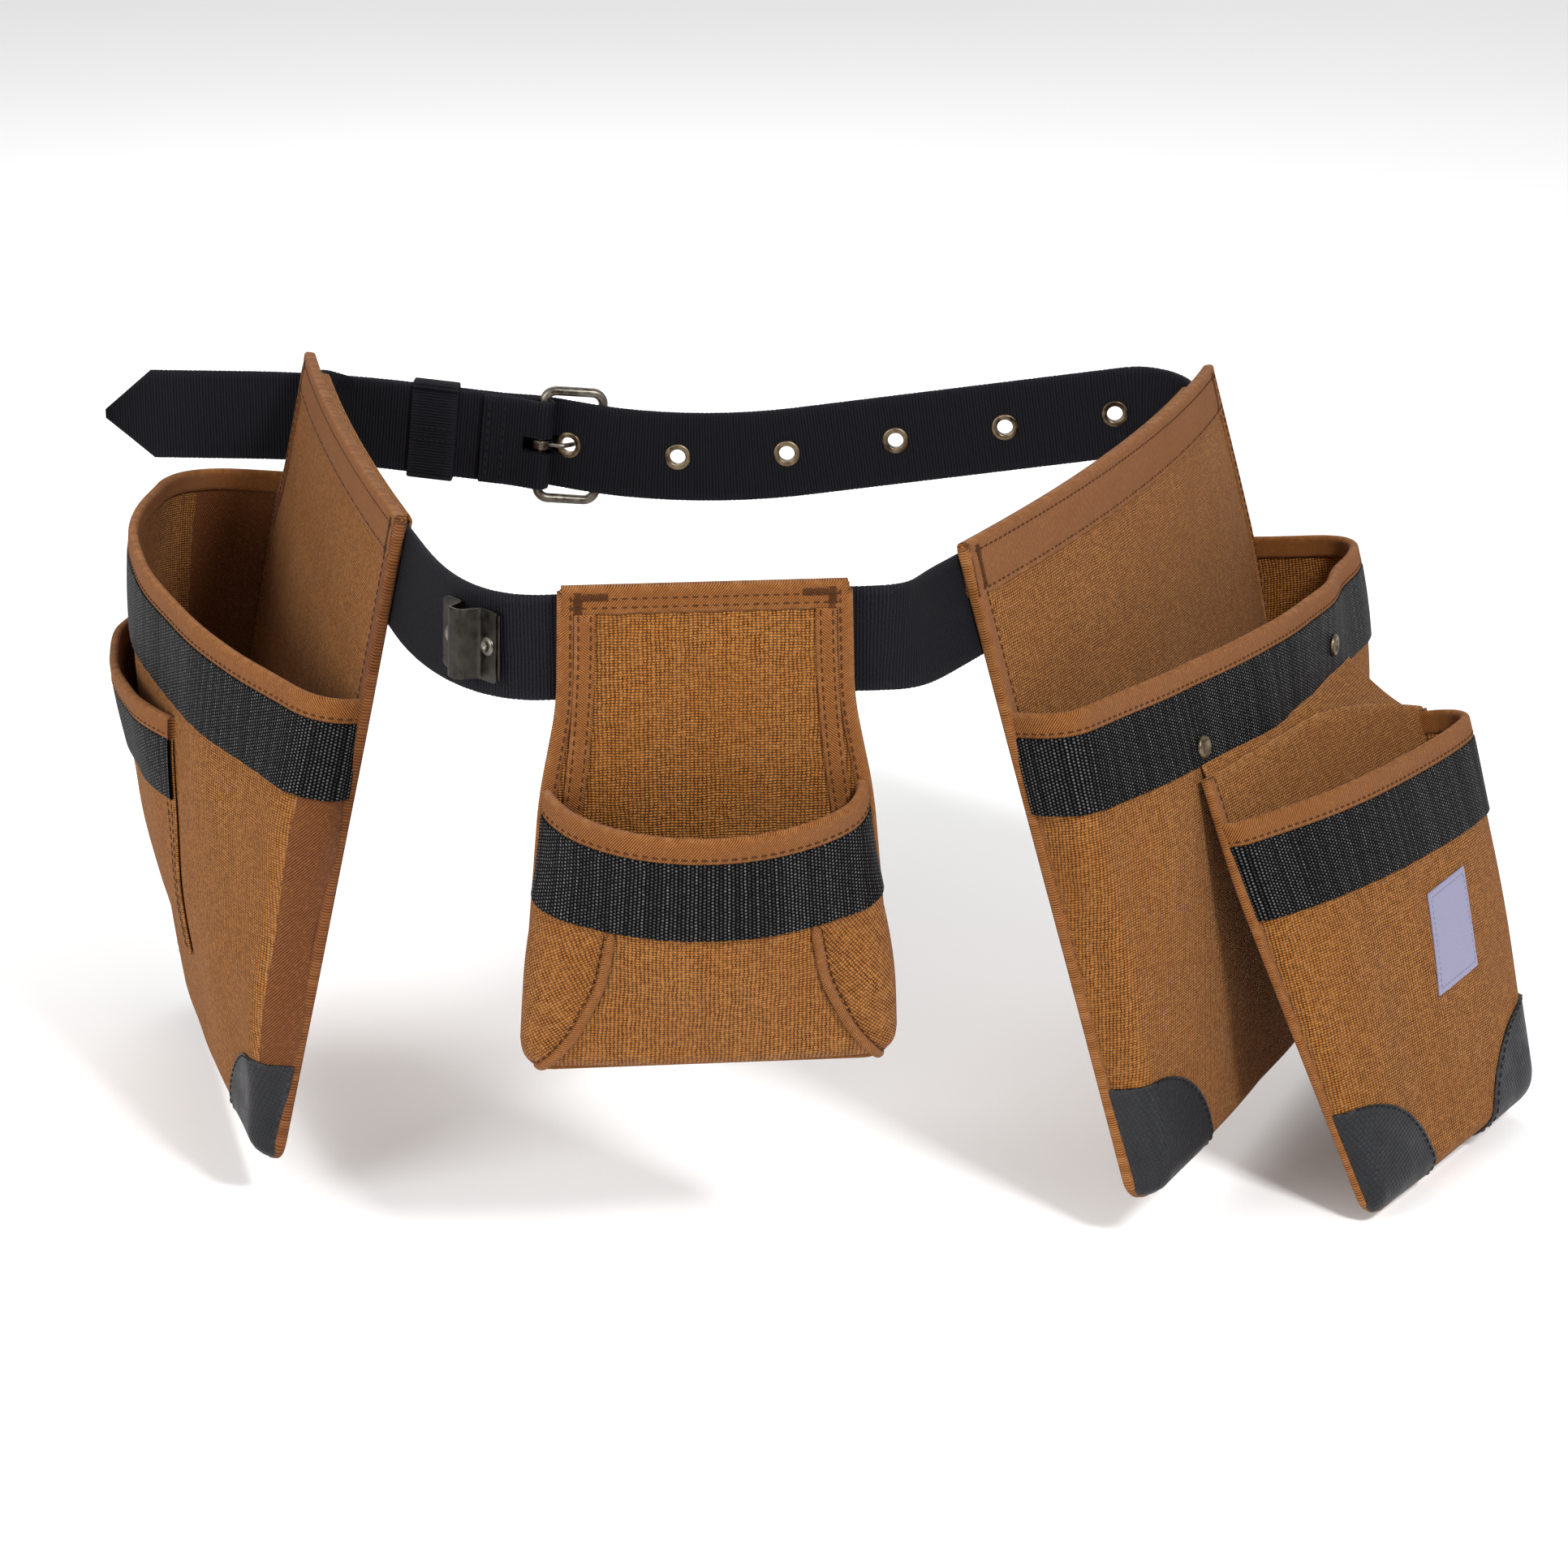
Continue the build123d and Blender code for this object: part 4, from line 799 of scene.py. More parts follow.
stitches("keeper_join_stitches", laps, BLACK_THREAD, "keeper", length=2.0, gap=0.4, radius=0.42)

# ---- buckle ---------------------------------------------------------------------------------------
FRAME_LEAN = math.radians(12.0)
FRAME_SEAT = Seat(BUCKLE.o, BUCKLE.turned((math.cos(FRAME_LEAN), math.sin(FRAME_LEAN), 0)), BUCKLE.z)
FRAME_W, FRAME_H, FRAME_CORNER, BAR_R = 25.0, 47.0, 5.0, 2.0
frame_points = []
for x, z, start in ((FRAME_W - FRAME_CORNER, 1, 0), (FRAME_CORNER, 1, 90),
                    (FRAME_CORNER, -1, 180), (FRAME_W - FRAME_CORNER, -1, 270)):
    for angle in np.radians(start + np.linspace(0, 90, 10)):
        height = z * (FRAME_H / 2 - FRAME_CORNER) + FRAME_CORNER * math.sin(angle)
        frame_points.append(FRAME_SEAT.at(x + FRAME_CORNER * math.cos(angle), 0, height))
pipe("buckle_wire", filled(frame_points, 1.5), BAR_R, FRAME_SEAT.y, "buckle_frame", ["buckle_frame"], True, sides=24)

bends = np.array([(2.9, 0.2), (9.2, 0.6), (11.4, 2.6), (14.5, 7.0), (17.0, 7.9), (27.3, 8.8)])
t = np.linspace(0, len(bends) - 1, 60)
prong_line = between(t, np.arange(len(bends)), bends)
prong_line[3:-3] = np.stack([np.convolve(line, np.ones(7) / 7, "valid") for line in prong_line.T], axis=-1)
prong_r = 1.0 - 0.25 * np.clip((t - 4.4) / 0.6, 0, 1) ** 2
prong_r[[0, -1]] = 0.1
pipe("buckle_prong", BUCKLE.at(*prong_line.T, 0), prong_r, BUCKLE.z, "buckle_tongue", ["buckle_tongue"])
angles = np.linspace(0, 2 * np.pi, 24, endpoint=False)[:, None]
eye_across, eye_out = ring(-2.0, 2.0, -0.7, 0.7, 0.5, step=2.0).T
eye_radius = BAR_R + 0.85 + eye_out
eye_points = BUCKLE.at(eye_radius * np.cos(angles), eye_radius * np.sin(angles), eye_across)
add_mesh("buckle_prong_loop", eye_points, tube(*eye_points.shape[:2], True), 0, NICKEL, "buckle_tongue")

# ---- tape clip ------------------------------------------------------------------------------------
clip_line = np.array([(-15, -0.8), (-5.0, -0.8), (-3.0, -8.5), (3.0, -8.5), (5.0, -0.8), (15, -0.8)])
rounded = [clip_line[0]]
for before, at, after in zip(clip_line, clip_line[1:], clip_line[2:]):
    first, second = at + unit(before - at) * 1.7, at + unit(after - at) * 1.7
    rounded += [curve(s, first, at, second) for s in np.linspace(0, 1, 6)]
rounded = np.array(rounded + [clip_line[-1]])
ways = np.vstack([rounded[1:], rounded[-1:]]) - np.vstack([rounded[:1], rounded[:-1]])
clip_path = Path([Seat(CLIP.at(x, y, 0), CLIP.turned((*way, 0)), CLIP.z) for (x, y), way in zip(rounded, ways)], 0.6)


def clip_place(u, w):
    """The plate's corners are rounded, and its raised middle is a little narrower."""
    o, y, z = clip_path.read(u)
    left = np.minimum(u, clip_path.s[-1] - u)
    share = 1 - 0.09 * np.clip(1 - left / 2.6, 0, 1) ** 2.2 - 0.03 * np.clip((left - 8) / 6, 0, 1)
    return o + z * (w * share)[..., None], -y


clip_section = ring(-13.0, 13.0, -0.75, 0.75, 0.45, step=2.0)
sweep("tape_clip_plate", clip_place, np.linspace(0, clip_path.s[-1], 90), clip_section, PLATE, "belt", ["tape_clip"])
RIVET_HEAD = np.vstack([
    [[0.02, 1.9], [0.6, 2.0], [1.2, 2.15], [1.6, 2.5]],
    half_round(2.4, (1.15, 0.95), 1.55, 0, np.pi / 2, 8),
    [[3.4, 1.2], [1.5, 1.1], [1.5, -WEB_T - 1.0], [2.4, -WEB_T - 1.2], [2.2, -WEB_T - 1.5], [0.02, -WEB_T - 1.6]],
])
lathe("tape_clip_rivets", [CLIP.moved(x) for x in (-10.0, 10.0)], RIVET_HEAD, NICKEL, "belt", ["clip_rivets"])


# ---- pouches --------------------------------------------------------------------------------------
class Ripple:
    """Soft unevenness of hanging canvas, the same for every piece that is sewn to it."""

    def __init__(self, seed, amount):
        chance, count = np.random.default_rng(seed), 16
        wave = chance.uniform(38, 120, count)
        heading = unit(chance.normal(size=(count, 3)) * (1.0, 1.0, 0.45))
        self.k = heading * (2 * np.pi / wave)[:, None]
        self.phase = chance.uniform(0, 2 * np.pi, count)
        self.size = amount * wave / 300

    def __call__(self, x, y, z):
        where = np.stack([x, y, z], axis=-1)
        return np.sum(np.sin(where @ self.k.T + self.phase) * self.size, axis=-1)


class Bag:
    """A pouch's bag. q runs from 0 at its front edge on the panel, over the front corner (1 to 2),
    along the face (2 to 3), over the rear corner (3 to 4) and back to the panel at 5."""

    def __init__(self, seat, radius, rear, levels, rim, panel_out, seed, ripple, dents, foot=4.0, rear_round=1.0,
                 fall=0.0):
        self.seat, self.radius, self.rear = seat, radius, rear
        self.levels = np.array(levels[::-1], float)
        self.rim_z, self.rise, self.droop = rim
        self.panel_out = panel_out
        self.ripple = Ripple(seed, ripple)
        self.dents, self.foot, self.rear_round, self.fall = dents, foot, rear_round, fall
        self.bottom = self.levels[0, 0]

    def level(self, z):
        """The section's six sizes at a height, smooth from one level to the next."""
        heights, sizes = self.levels[:, 0], self.levels[:, 1:]
        slopes = np.gradient(sizes, heights, axis=0)
        z = np.clip(z, heights[0], heights[-1])
        i = np.clip(np.searchsorted(heights, z) - 1, 0, len(heights) - 2)
        span = (heights[i + 1] - heights[i])[..., None]
        t = (z - heights[i])[..., None] / span
        return np.moveaxis(smooth(t, sizes[i], slopes[i] * span, sizes[i + 1], slopes[i + 1] * span), -1, 0)

    def panel_face(self, reach):
        """Out of the panel's front face, which follows the belt's curve."""
        if not self.radius:
            return np.zeros_like(reach) + self.panel_out
        return np.sqrt((self.radius + self.panel_out) ** 2 - reach**2) - self.radius

    def section(self, q, z):
        """Reach and out of the bag without its ripples and dents. Its bottom is drawn in and closes onto the panel."""
        front, back, out_front, out_back, bulge, corner = self.level(z)
        drop = np.clip((self.bottom + self.foot - z) / self.foot, 0, 1)
        drawn_in = self.foot * (1 - np.sqrt(1 - drop**2))
        front, back = front + drawn_in, back - drawn_in
        low = np.clip((self.bottom + CLOSING_H - z) / CLOSING_H, 0, 1)
        fade = np.sqrt(1 - low**2)
        half, mid = (back - front) / 2, (back + front) / 2
        base_front, base_back = self.panel_face(front) - 0.6, self.panel_face(back) - 0.6
        out_front = base_front + (out_front - base_front) * fade
        out_back = base_back + (out_back - base_back) * fade
        bulge = np.maximum(bulge * fade, 0.6)
        rise, mean = (out_back - out_front) / 2, (out_back + out_front) / 2
        chord = np.hypot(half, rise)
        arc = (chord**2 + bulge**2) / (2 * bulge)

        def face(t):
            return mean + rise * t + np.sqrt(np.maximum(arc**2 - (t * chord) ** 2, 0)) - (arc - bulge)

        c_front = np.minimum(corner, (out_front - base_front) * 0.8)
        c_back = np.minimum(corner * self.rear_round, (out_back - base_back) * 0.8)
        q = np.asarray(q, float)
        t0, t1 = -1 + corner / half, 1 - corner * self.rear_round / half
        t = t0 + (t1 - t0) * np.clip(q - 2, 0, 1)
        reach, out = mid + half * t, face(t)
        s = np.clip(q - 1, 0, 1)
        front_reach = curve(s, front, front, mid + half * t0)
        front_out = curve(s, out_front - c_front, out_front, face(t0))
        s = np.clip(4 - q, 0, 1)
        back_reach = curve(s, back, back, mid + half * t1)
        back_out = curve(s, out_back - c_back, out_back, face(t1))
        wall_front = base_front + np.clip(q, 0, 1) * (out_front - c_front - base_front)
        wall_back = base_back + np.clip(5 - q, 0, 1) * (out_back - c_back - base_back)
        parts = [q < 1, q > 4, q < 2, q > 3]
        return (np.select(parts, [front + 0 * q, back + 0 * q, front_reach, back_reach], reach),
                np.select(parts, [wall_front, wall_back, front_out, back_out], out))

    def spot(self, q, z):
        """World places on the bag's outer face."""
        q, z = np.broadcast_arrays(np.asarray(q, float), np.asarray(z, float))
        reach, out = self.section(q, z)
        r1, o1 = self.section(np.clip(q - 0.02, 0, 5), z)
        r2, o2 = self.section(np.clip(q + 0.02, 0, 5), z)
        along = unit(np.stack([r2 - r1, o2 - o1], axis=-1))
        swell = self.ripple(reach, out * 1.5, z) * np.clip(np.minimum(q, 5 - q) / 0.8, 0, 1)
        swell = swell * np.clip((z - self.bottom) / 12, 0, 1)
        for at_reach, at_z, wide, tall, deep in self.dents:
            swell = swell - deep * np.exp(-((reach - at_reach) / wide) ** 2 - ((z - at_z) / tall) ** 2)
        reach, out = reach - along[..., 1] * swell, out + along[..., 0] * swell
        return self.seat.at(self.rear * reach, -out, z)

    def skin(self, q, z):
        """Places on the bag and the directions away from it."""
        q, z = np.broadcast_arrays(np.asarray(q, float), np.asarray(z, float))
        dq = self.spot(np.clip(q + 0.02, 0, 5), z) - self.spot(np.clip(q - 0.02, 0, 5), z)
        dz = self.spot(q, z + 0.6) - self.spot(q, z - 0.6)
        return self.spot(q, z), unit(np.cross(dq, dz)) * self.rear

    def lowered(self, reach, z, top, bottom):
        """Heights on the panel, whose top edge may fall away towards its rear."""
        share = np.clip((z - bottom) / (top - bottom), 0, 1)
        return z - self.fall * np.clip(reach / 86.0, 0, 1) ** 1.5 * share

    def rim_height(self, q, drop):
        """Height of a line round the bag, a drop below its mouth."""
        q, drop = np.broadcast_arrays(np.asarray(q, float), np.asarray(drop, float))
        z = np.full(q.shape, self.rim_z) - drop
        for _ in range(4):
            reach, out = self.section(q, z)
            z = self.rim_z + self.rise * reach - self.droop * out - drop * math.hypot(1, self.droop)
        return z

    def under_rim(self, q, drop):
        return self.skin(q, self.rim_height(q, drop))

    def q_steps(self, z, step, q0=0.0, q1=5.0):
        """Values of q that are evenly spaced round the bag at a height."""
        q = np.linspace(q0, q1, 900)
        run = lengths(self.spot(q, np.full(q.shape, float(z))), 0)
        return np.interp(np.linspace(0, run[-1], max(4, int(run[-1] / step))), run, q)

    def q_at(self, reach, z):
        """Value of q on the bag's face at a reach, for matching arrays of reach and height."""
        reach, z = np.broadcast_arrays(np.asarray(reach, float), np.asarray(z, float))
        q = np.linspace(1.0, 4.0, 240)
        flat_r, flat_z = reach.ravel(), z.ravel()
        table, _ = self.section(q[None, :], flat_z[:, None] + 0 * q[None, :])
        return np.array([np.interp(r, row, q) for r, row in zip(flat_r, table)]).reshape(reach.shape)

    def panel_spot(self, reach, out, z):
        """World places at a distance out from the belt's outer face, which the panel's curve follows."""
        reach, out, z = np.broadcast_arrays(*(np.asarray(c, float) for c in (reach, out, z)))
        y = self.radius - np.sqrt((self.radius + out) ** 2 - reach**2) if self.radius else -out
        return self.seat.at(self.rear * reach, y, z)

    def panel(self, reach, out, z):
        """Places on the panel and the directions out from it."""
        here = self.panel_spot(reach, out, z)
        return here, unit(self.panel_spot(reach, np.asarray(out) + 1.0, z) - here)


def edges_at(outline, z):
    """Front and rear reach of a panel's outline at a height, with its corners eased."""
    edges = []
    for side in (-1, 1):
        reach, height = np.array(sorted((p for p in outline if p[0] * side > 0), key=lambda p: p[1]), float).T
        dense = np.arange(height[0], height[-1] + 0.5, 1.0)
        line = np.pad(np.interp(dense, height, reach), 9, mode="edge")
        edges.append(np.interp(z, dense, np.convolve(line, np.ones(19) / 19, "valid")))
    return edges


def back_panel(name, bag, outline, near, far, body, nodes):
    """The doubled canvas that a bag is sewn to."""
    heights = [p[1] for p in outline]
    bottom, top = min(heights), max(heights)
    foot = bottom + np.array([0.15, 0.8, 2, 3, 4.5, 6.5, 9])
    z = np.unique(np.concatenate([near_ends(bottom, top, 4.0), foot]))[::-1]
    front, rear = edges_at(outline, z)
    low = np.clip((bottom + PANEL_CORNER - z) / PANEL_CORNER, 0, 1)
    cut = PANEL_CORNER * (1 - np.sqrt(1 - low**2))
    reach = (front + cut)[None, :] + (rear - front - 2 * cut)[None, :] * near_ends(0, 1, 0.02, 0.012)[:, None]
    height = bag.lowered(reach, np.broadcast_to(z, reach.shape), top, bottom)
    points, outward = bag.panel(reach, far, height)
    soft = bag.ripple(reach, reach * 0 + 30, height) * 0.35 * np.clip((-24 - height) / 30, 0, 1)
    points = points + outward * np.minimum(soft, 0.25)[..., None]
    slab(name, points, outward, 0.0, far - near, DUCK, body, nodes, cloth=(reach, height))


def canvas(name, bag, q_low, q_high, material, body, nodes, thick=CANVAS_T, top=1.0):
    """A cut of canvas on the bag, between two lines of q that may depend on the height."""
    middle_q = bag.q_steps(-90, 2.0, np.mean(q_low), np.mean(q_high))
    width = np.linalg.norm(np.diff(bag.spot(middle_q, -90.0), axis=0), axis=1).sum()
    share = np.unique(np.concatenate([np.linspace(0, 1, max(6, int(width / 2.2))), [0.003, 0.008, 0.99, 0.997]]))
    foot = 1 - np.array([9, 8, 7, 6, 5, 4, 3, 2.3, 1.6, 1, 0.6, 0.3, 0.1]) / (bag.rim_z - bag.bottom)
    rows = np.linspace(0, 1, 92)
    rows = np.unique(np.concatenate([rows[rows < foot[0]], [0.002, 0.005], foot, [1.0]]))
    height = bag.rim_z * (1 - rows) + bag.bottom * rows
    even = bag.q_steps(-100, 1.0)
    count = np.arange(len(even))
    low, high = (
        np.interp(np.interp(height, np.linspace(bag.bottom, bag.rim_z, np.size(q)), np.ravel(q)), even, count)
        for q in (q_low, q_high))
    q = np.interp(low[None] + (high - low)[None] * share[:, None], count, even)
    mouth = bag.rim_height(q, top)
    z = mouth + (bag.bottom - mouth) * rows[None, :]
    points, outward = bag.skin(q, z)
    along = lengths(points, 0)
    middle = [np.interp(2.5, q[:, j], along[:, j]) if q[0, j] < 2.5 < q[-1, j] else 0 for j in range(q.shape[1])]
    slab(name, points, outward, 0.0, thick, material, body, nodes, cloth=(along - np.array(middle), z))


def rim_binding(name, bag, body, nodes):
    """Tape folded over the mouth's edge, a little puckered along its stitching."""
    section = ring(-1.7, RIM_H, -CANVAS_T - TRIM_T, TRIM_T, 1.9, step=1.3)

    def place(q, drop):
        points, outward = bag.under_rim(q, drop)
        run = lengths(points, 0)
        give = 0.22 * np.sin(run * np.pi / 1.7) * np.exp(-((drop - 5.6) / 1.6) ** 2)
        return points - outward * (0.35 * np.exp(-((drop - 5.6) / 0.9) ** 2) + give)[..., None], outward

    sweep(name, place, bag.q_steps(bag.rim_z, 1.1, 0.02, 4.98), section, TWILL, body, nodes)


def rim_row(bag):
    """Stitching places along the rim's tape."""
    q = bag.q_steps(bag.rim_z, 1.2, 0.05, 4.95)
    points, outward = bag.under_rim(q, 5.7)
    return points + outward * (TRIM_T - 0.3), outward


def band(name, bag, body, nodes):
    """Wide webbing sewn on under the mouth."""
    section = ring(RIM_H - 0.6, RIM_H + BAND_H, -0.1, TRIM_T + 0.3, 0.6, step=2.4)

    def place(q, drop):
        points, outward = bag.under_rim(q, drop)
        run = lengths(points, 0)
        teeth = 0.25 * np.abs(np.sin(np.pi * run / 1.25)) * (drop > RIM_H + BAND_H - 0.8)
        return points - bag.seat.z * teeth[..., None], outward

    sweep(name, place, bag.q_steps(bag.rim_z - 20, 1.4, 0.03, 4.97), section, BAND, body, nodes)


def patch(name, bag, at_front, body, nodes, radius):
    """A tough patch round a lower corner, with a curved top edge, whose stitching places are returned."""
    z = near_ends(bag.bottom + 0.3, bag.bottom + radius - 2, 1.6, 1.0)
    step = 0.5
    even = bag.q_steps(-200 if bag.bottom < -200 else bag.bottom + 25, step)
    run = np.arange(len(even)) * step
    corner = np.interp(1.5 if at_front else 3.5, even, run)
    limit = np.sqrt(np.clip(radius**2 - (z - bag.bottom + 2) ** 2, 16, None))
    edge, way = (0.0, 1) if at_front else (run[-1], -1)
    here = edge + (corner + limit * way - edge)[None, :] * near_ends(0, 1, 0.03, 0.02)[:, None]
    q = np.interp(here, run, even)
    height = np.broadcast_to(z, q.shape)
    points, outward = bag.skin(q, height)
    slab(name, points, outward, TRIM_T, 0.2, PATCH, body, nodes, cloth=(here, height))
    row, row_out = bag.skin(np.interp(corner + (limit - 2.4) * way, run, even)[3:-2], z[3:-2])
    return row + row_out * (TRIM_T - 0.05), row_out


def edge_binding(name, bag, outline, near, far, body, material, width, top):
    """Tape folded round the panel's sides and bottom; its line and the directions inward are returned."""
    bottom, corner = min(p[1] for p in outline), 10
    down = np.linspace(top, bottom + corner, 130)
    front, rear = edges_at(outline, down)
    turn = np.linspace(0.1, 1.5, 8)
    aside, height = corner * (1 - np.cos(turn)), bottom + corner * (1 - np.sin(turn))
    floor = np.linspace(front[-1] + 14, rear[-1] - 14, 70)
    line = np.stack([
        np.concatenate([front, front[-1] + aside, floor, rear[-1] - aside[::-1], rear[::-1]]),
        np.concatenate([down, height, np.full(70, bottom), height[::-1], down[::-1]])], axis=-1)
    line[:, 1] = bag.lowered(line[:, 0], line[:, 1], top, bottom)
    run = lengths(line, 0)
    inward = unit(np.stack([-np.gradient(line[:, 1]), np.gradient(line[:, 0])], axis=-1))

    def place(u, w):
        here = between(u, run, line) + between(u, run, inward) * w[..., None]
        return bag.panel(here[..., 0], 0.0, here[..., 1])

    section = ring(-1.0, width, near - 0.4, far + TRIM_T, 1.4, step=1.6)
    sweep(name, place, np.arange(0, run[-1], 1.6), section, material, body)
    return line, inward


def top_binding(name, bag, outline, height, body, nodes):
    """Wide tape folded over the panel's top edge, pressed in along its two rows of stitches."""
    section = ring(-1.2, height, PANEL_IN - 0.5, PANEL_OUT + TRIM_T + 0.2, 1.5, step=1.6)
    front, rear = edges_at(outline, TOP_Z - 2.0)

    def place(u, w):
        here, outward = bag.panel(u, 0.0, TOP_Z - w)
        dip = 0.45 * (np.exp(-((w - 3.2) / 0.8) ** 2) + np.exp(-((w - height + 2.6) / 0.8) ** 2))
        wave = 0.25 * np.sin(u / 1.7) * np.exp(-((w - height) / 3) ** 2)
        return here + outward * (wave - dip * ((w > 1.0) & (w < height - 0.6)))[..., None], outward

    sweep(name, place, np.arange(front + 0.5, rear - 0.4, 1.1), section, TWILL, body, nodes)


def sleeve(name, bag, start, stop, body, nodes):
    """The tunnel of canvas that the belt runs through, behind the panel."""
    room = WEB_W / 2 + 0.8
    upper = [(room + 0.9, PANEL_IN + 0.2), (room + 0.9, -WEB_T - 0.2), (room - 0.9, -WEB_T - 1.5)]
    corners = np.array(upper + [(-z, out) for z, out in upper[::-1]])
    z, out = between(np.append(np.linspace(0, 5, 31)[:-1], 5), np.arange(6), corners).T
    reach = near_ends(start, stop, 3.0, 1.0)[:, None]
    points = bag.panel_spot(reach, out, z)
    outward = unit(np.cross(np.gradient(points, axis=0), np.gradient(points, axis=1)))
    if np.sum(outward * (points - bag.panel_spot(reach, -0.5 + 0 * out, 0 * z))) < 0:
        outward = -outward
    slab(name, points, outward, 0.8, 0.8, DUCK, body, nodes, rounding=0.8, cloth=(reach, lengths(points, 1)))


RIGHT_BAG = Bag(RIGHT, RIGHT_R, 1, [
    (-25, -133, 160, 14, 34, 24, 9), (-62, -133, 161, 14, 34, 23, 9),
    (-150, -127, 146, 12, 26, 17, 7), (-238, -120, 112, 8, 13, 4, 4),
], (-51, -0.045, 0.1), PANEL_OUT, seed=11, ripple=1.3,
    dents=((-28, -170, 16, 70, 2.2), (60, -120, 22, 60, 1.5), (-96, -110, 14, 30, -1.2)), rear_round=2.5)
LEFT_BAG = Bag(LEFT, LEFT_R, -1, [
    (-20, -125, 148, 17, 42, 41, 12), (-62, -124, 148, 17, 40, 38, 12),
    (-150, -121, 138, 17, 29, 22, 9), (-238, -116, 110, 9, 13, 5, 4),
], (-44, 0.05, 0.08), PANEL_OUT, seed=5, ripple=1.2,
    dents=((-92, -170, 14, 50, 1.3), (-126, -105, 13, 26, -3.2), (-122, -185, 13, 30, -2.8), (-124, -148, 12, 14, 0.8)),
    rear_round=2.0)
CENTRE_BAG = Bag(CENTRE, None, 1, [
    (-40, -56, 56, 10, 10, 34, 7), (-62, -57, 57, 11, 11, 33, 7),
    (-105, -62, 62, 15, 15, 22, 8), (-154, -66, 66, 14, 14, 7, 6),
], (-51, 0.0, 0.15), PANEL_OUT, seed=23, ripple=0.9,
    dents=((0, -112, 40, 16, -1.0), (-54, -122, 11, 26, -2.6), (54, -122, 11, 26, -2.6)), foot=10.0)
HINGE_REACH, HINGE_OUT, HINGE_Z = 14.9, 48.9, -95.8
OUTER_BAG = Bag(level_seat(*RIGHT.at(HINGE_REACH, -HINGE_OUT, HINGE_Z), 56.0, 22.0), None, 1, [
    (-5, -86, 84, 8, 24, 14, 5), (-45, -84, 80, 8, 24, 14, 5),
    (-110, -77, 70, 9, 21, 11, 5), (-182, -68, 58, 8, 14, 4, 4),
], (-22, -0.02, 0.17), OUTER_PANEL_T, seed=31, ripple=1.0, dents=((-30, -120, 12, 40, 1.2), (40, -140, 12, 36, 1.0)),
    rear_round=2.8, fall=20.0)

OUTLINES = {
    "right": [(-139, 22), (146, 22), (156, -20), (163, -55), (148, -150), (113, -240),
              (-121, -240), (-127, -150), (-134, -55)],
    "left": [(-127, 22), (127, 22), (131, -31), (150, -52), (140, -150), (111, -240),
             (-117, -240), (-122, -150), (-126, -55)],
    "centre": [(-50, 22), (50, 22), (51, -20), (58, -55), (67, -156), (-67, -156), (-58, -55), (-51, -20)],
    "outer": [(-86, -1), (86, -1), (83, -45), (73, -110), (60, -183), (-69, -183), (-78, -110), (-86, -45)],
}
BAGS = {"right": RIGHT_BAG, "left": LEFT_BAG, "centre": CENTRE_BAG, "outer": OUTER_BAG}
EDGE_TAPE_W = {"right": 6.0, "left": 7.0, "centre": 5.0, "outer": 5.0}
TOP_TAPE_H = {"right": 20.0, "left": 16.0, "centre": 9.0}
SLEEVES = {"right": (-125, 112), "left": (-116, 98), "centre": (-46, 46)}

for key, bag in BAGS.items():
    body, outline, on_belt = key + "_pouch", OUTLINES[key], key != "outer"
    near, far, edge_top = (PANEL_IN, PANEL_OUT, TOP_Z - 1.0) if on_belt else (0.0, OUTER_PANEL_T, -1.5)
    back_panel(key + "_panel", bag, outline, near, far, body, [key + "_back_panel"])
    tape, tape_w = GUSSET_TWILL if key == "left" else TWILL, EDGE_TAPE_W[key]
    line, inward = edge_binding(key + "_edge_tape", bag, outline, near, far, body, tape, tape_w, edge_top)
    inset = line + inward * (tape_w - 1.4)
    rows = [bag.panel(inset[:, 0], far + TRIM_T - 0.05, inset[:, 1]), rim_row(bag)]
    rim_binding(key + "_rim_tape", bag, body, [key + "_rim_binding"])
    band(key + "_band", bag, body, [key + "_webbing_band"])
    if on_belt:
        top_binding(key + "_top_tape", bag, outline, TOP_TAPE_H[key], body, [key + "_panel_binding"])
        front, rear = edges_at(outline, TOP_Z - 2.0)
        reach = np.linspace(front + 3, rear - 3, 160)
        for below in (3.2, TOP_TAPE_H[key] - 2.6):
            rows.append(bag.panel(reach, PANEL_OUT + TRIM_T - 0.15, TOP_Z - below))
        sleeve(key + "_sleeve", bag, *SLEEVES[key], body, [key + "_belt_sleeve"])
    stitches(key + "_stitching", rows, BROWN_THREAD, body)

# the right and outer bags are one cut of duck from edge to edge, with a folded twill edge at the panel
for key, fold_q in (("right", 0.42), ("outer", 0.9)):
    bag, body = BAGS[key], key + "_pouch"
    canvas(key + "_bag", bag, 0.0, 5.0, DUCK, body, [key + "_front_panel"])
    canvas(key + "_folded_edge", bag, 0.0, fold_q, TWILL, body, [key + "_gusset"], thick=2.2, top=RIM_H)

# the left bag has twill gussets at its sides
canvas("left_bag", LEFT_BAG, 1.45, 3.6, DUCK, "left_pouch", ["left_front_panel"])
canvas("left_gusset_front", LEFT_BAG, 0.0, 1.5, GUSSET_TWILL, "left_pouch", ["left_gusset"], thick=1.5)
canvas("left_gusset_rear", LEFT_BAG, 3.55, 5.0, GUSSET_TWILL, "left_pouch", (), thick=1.5)

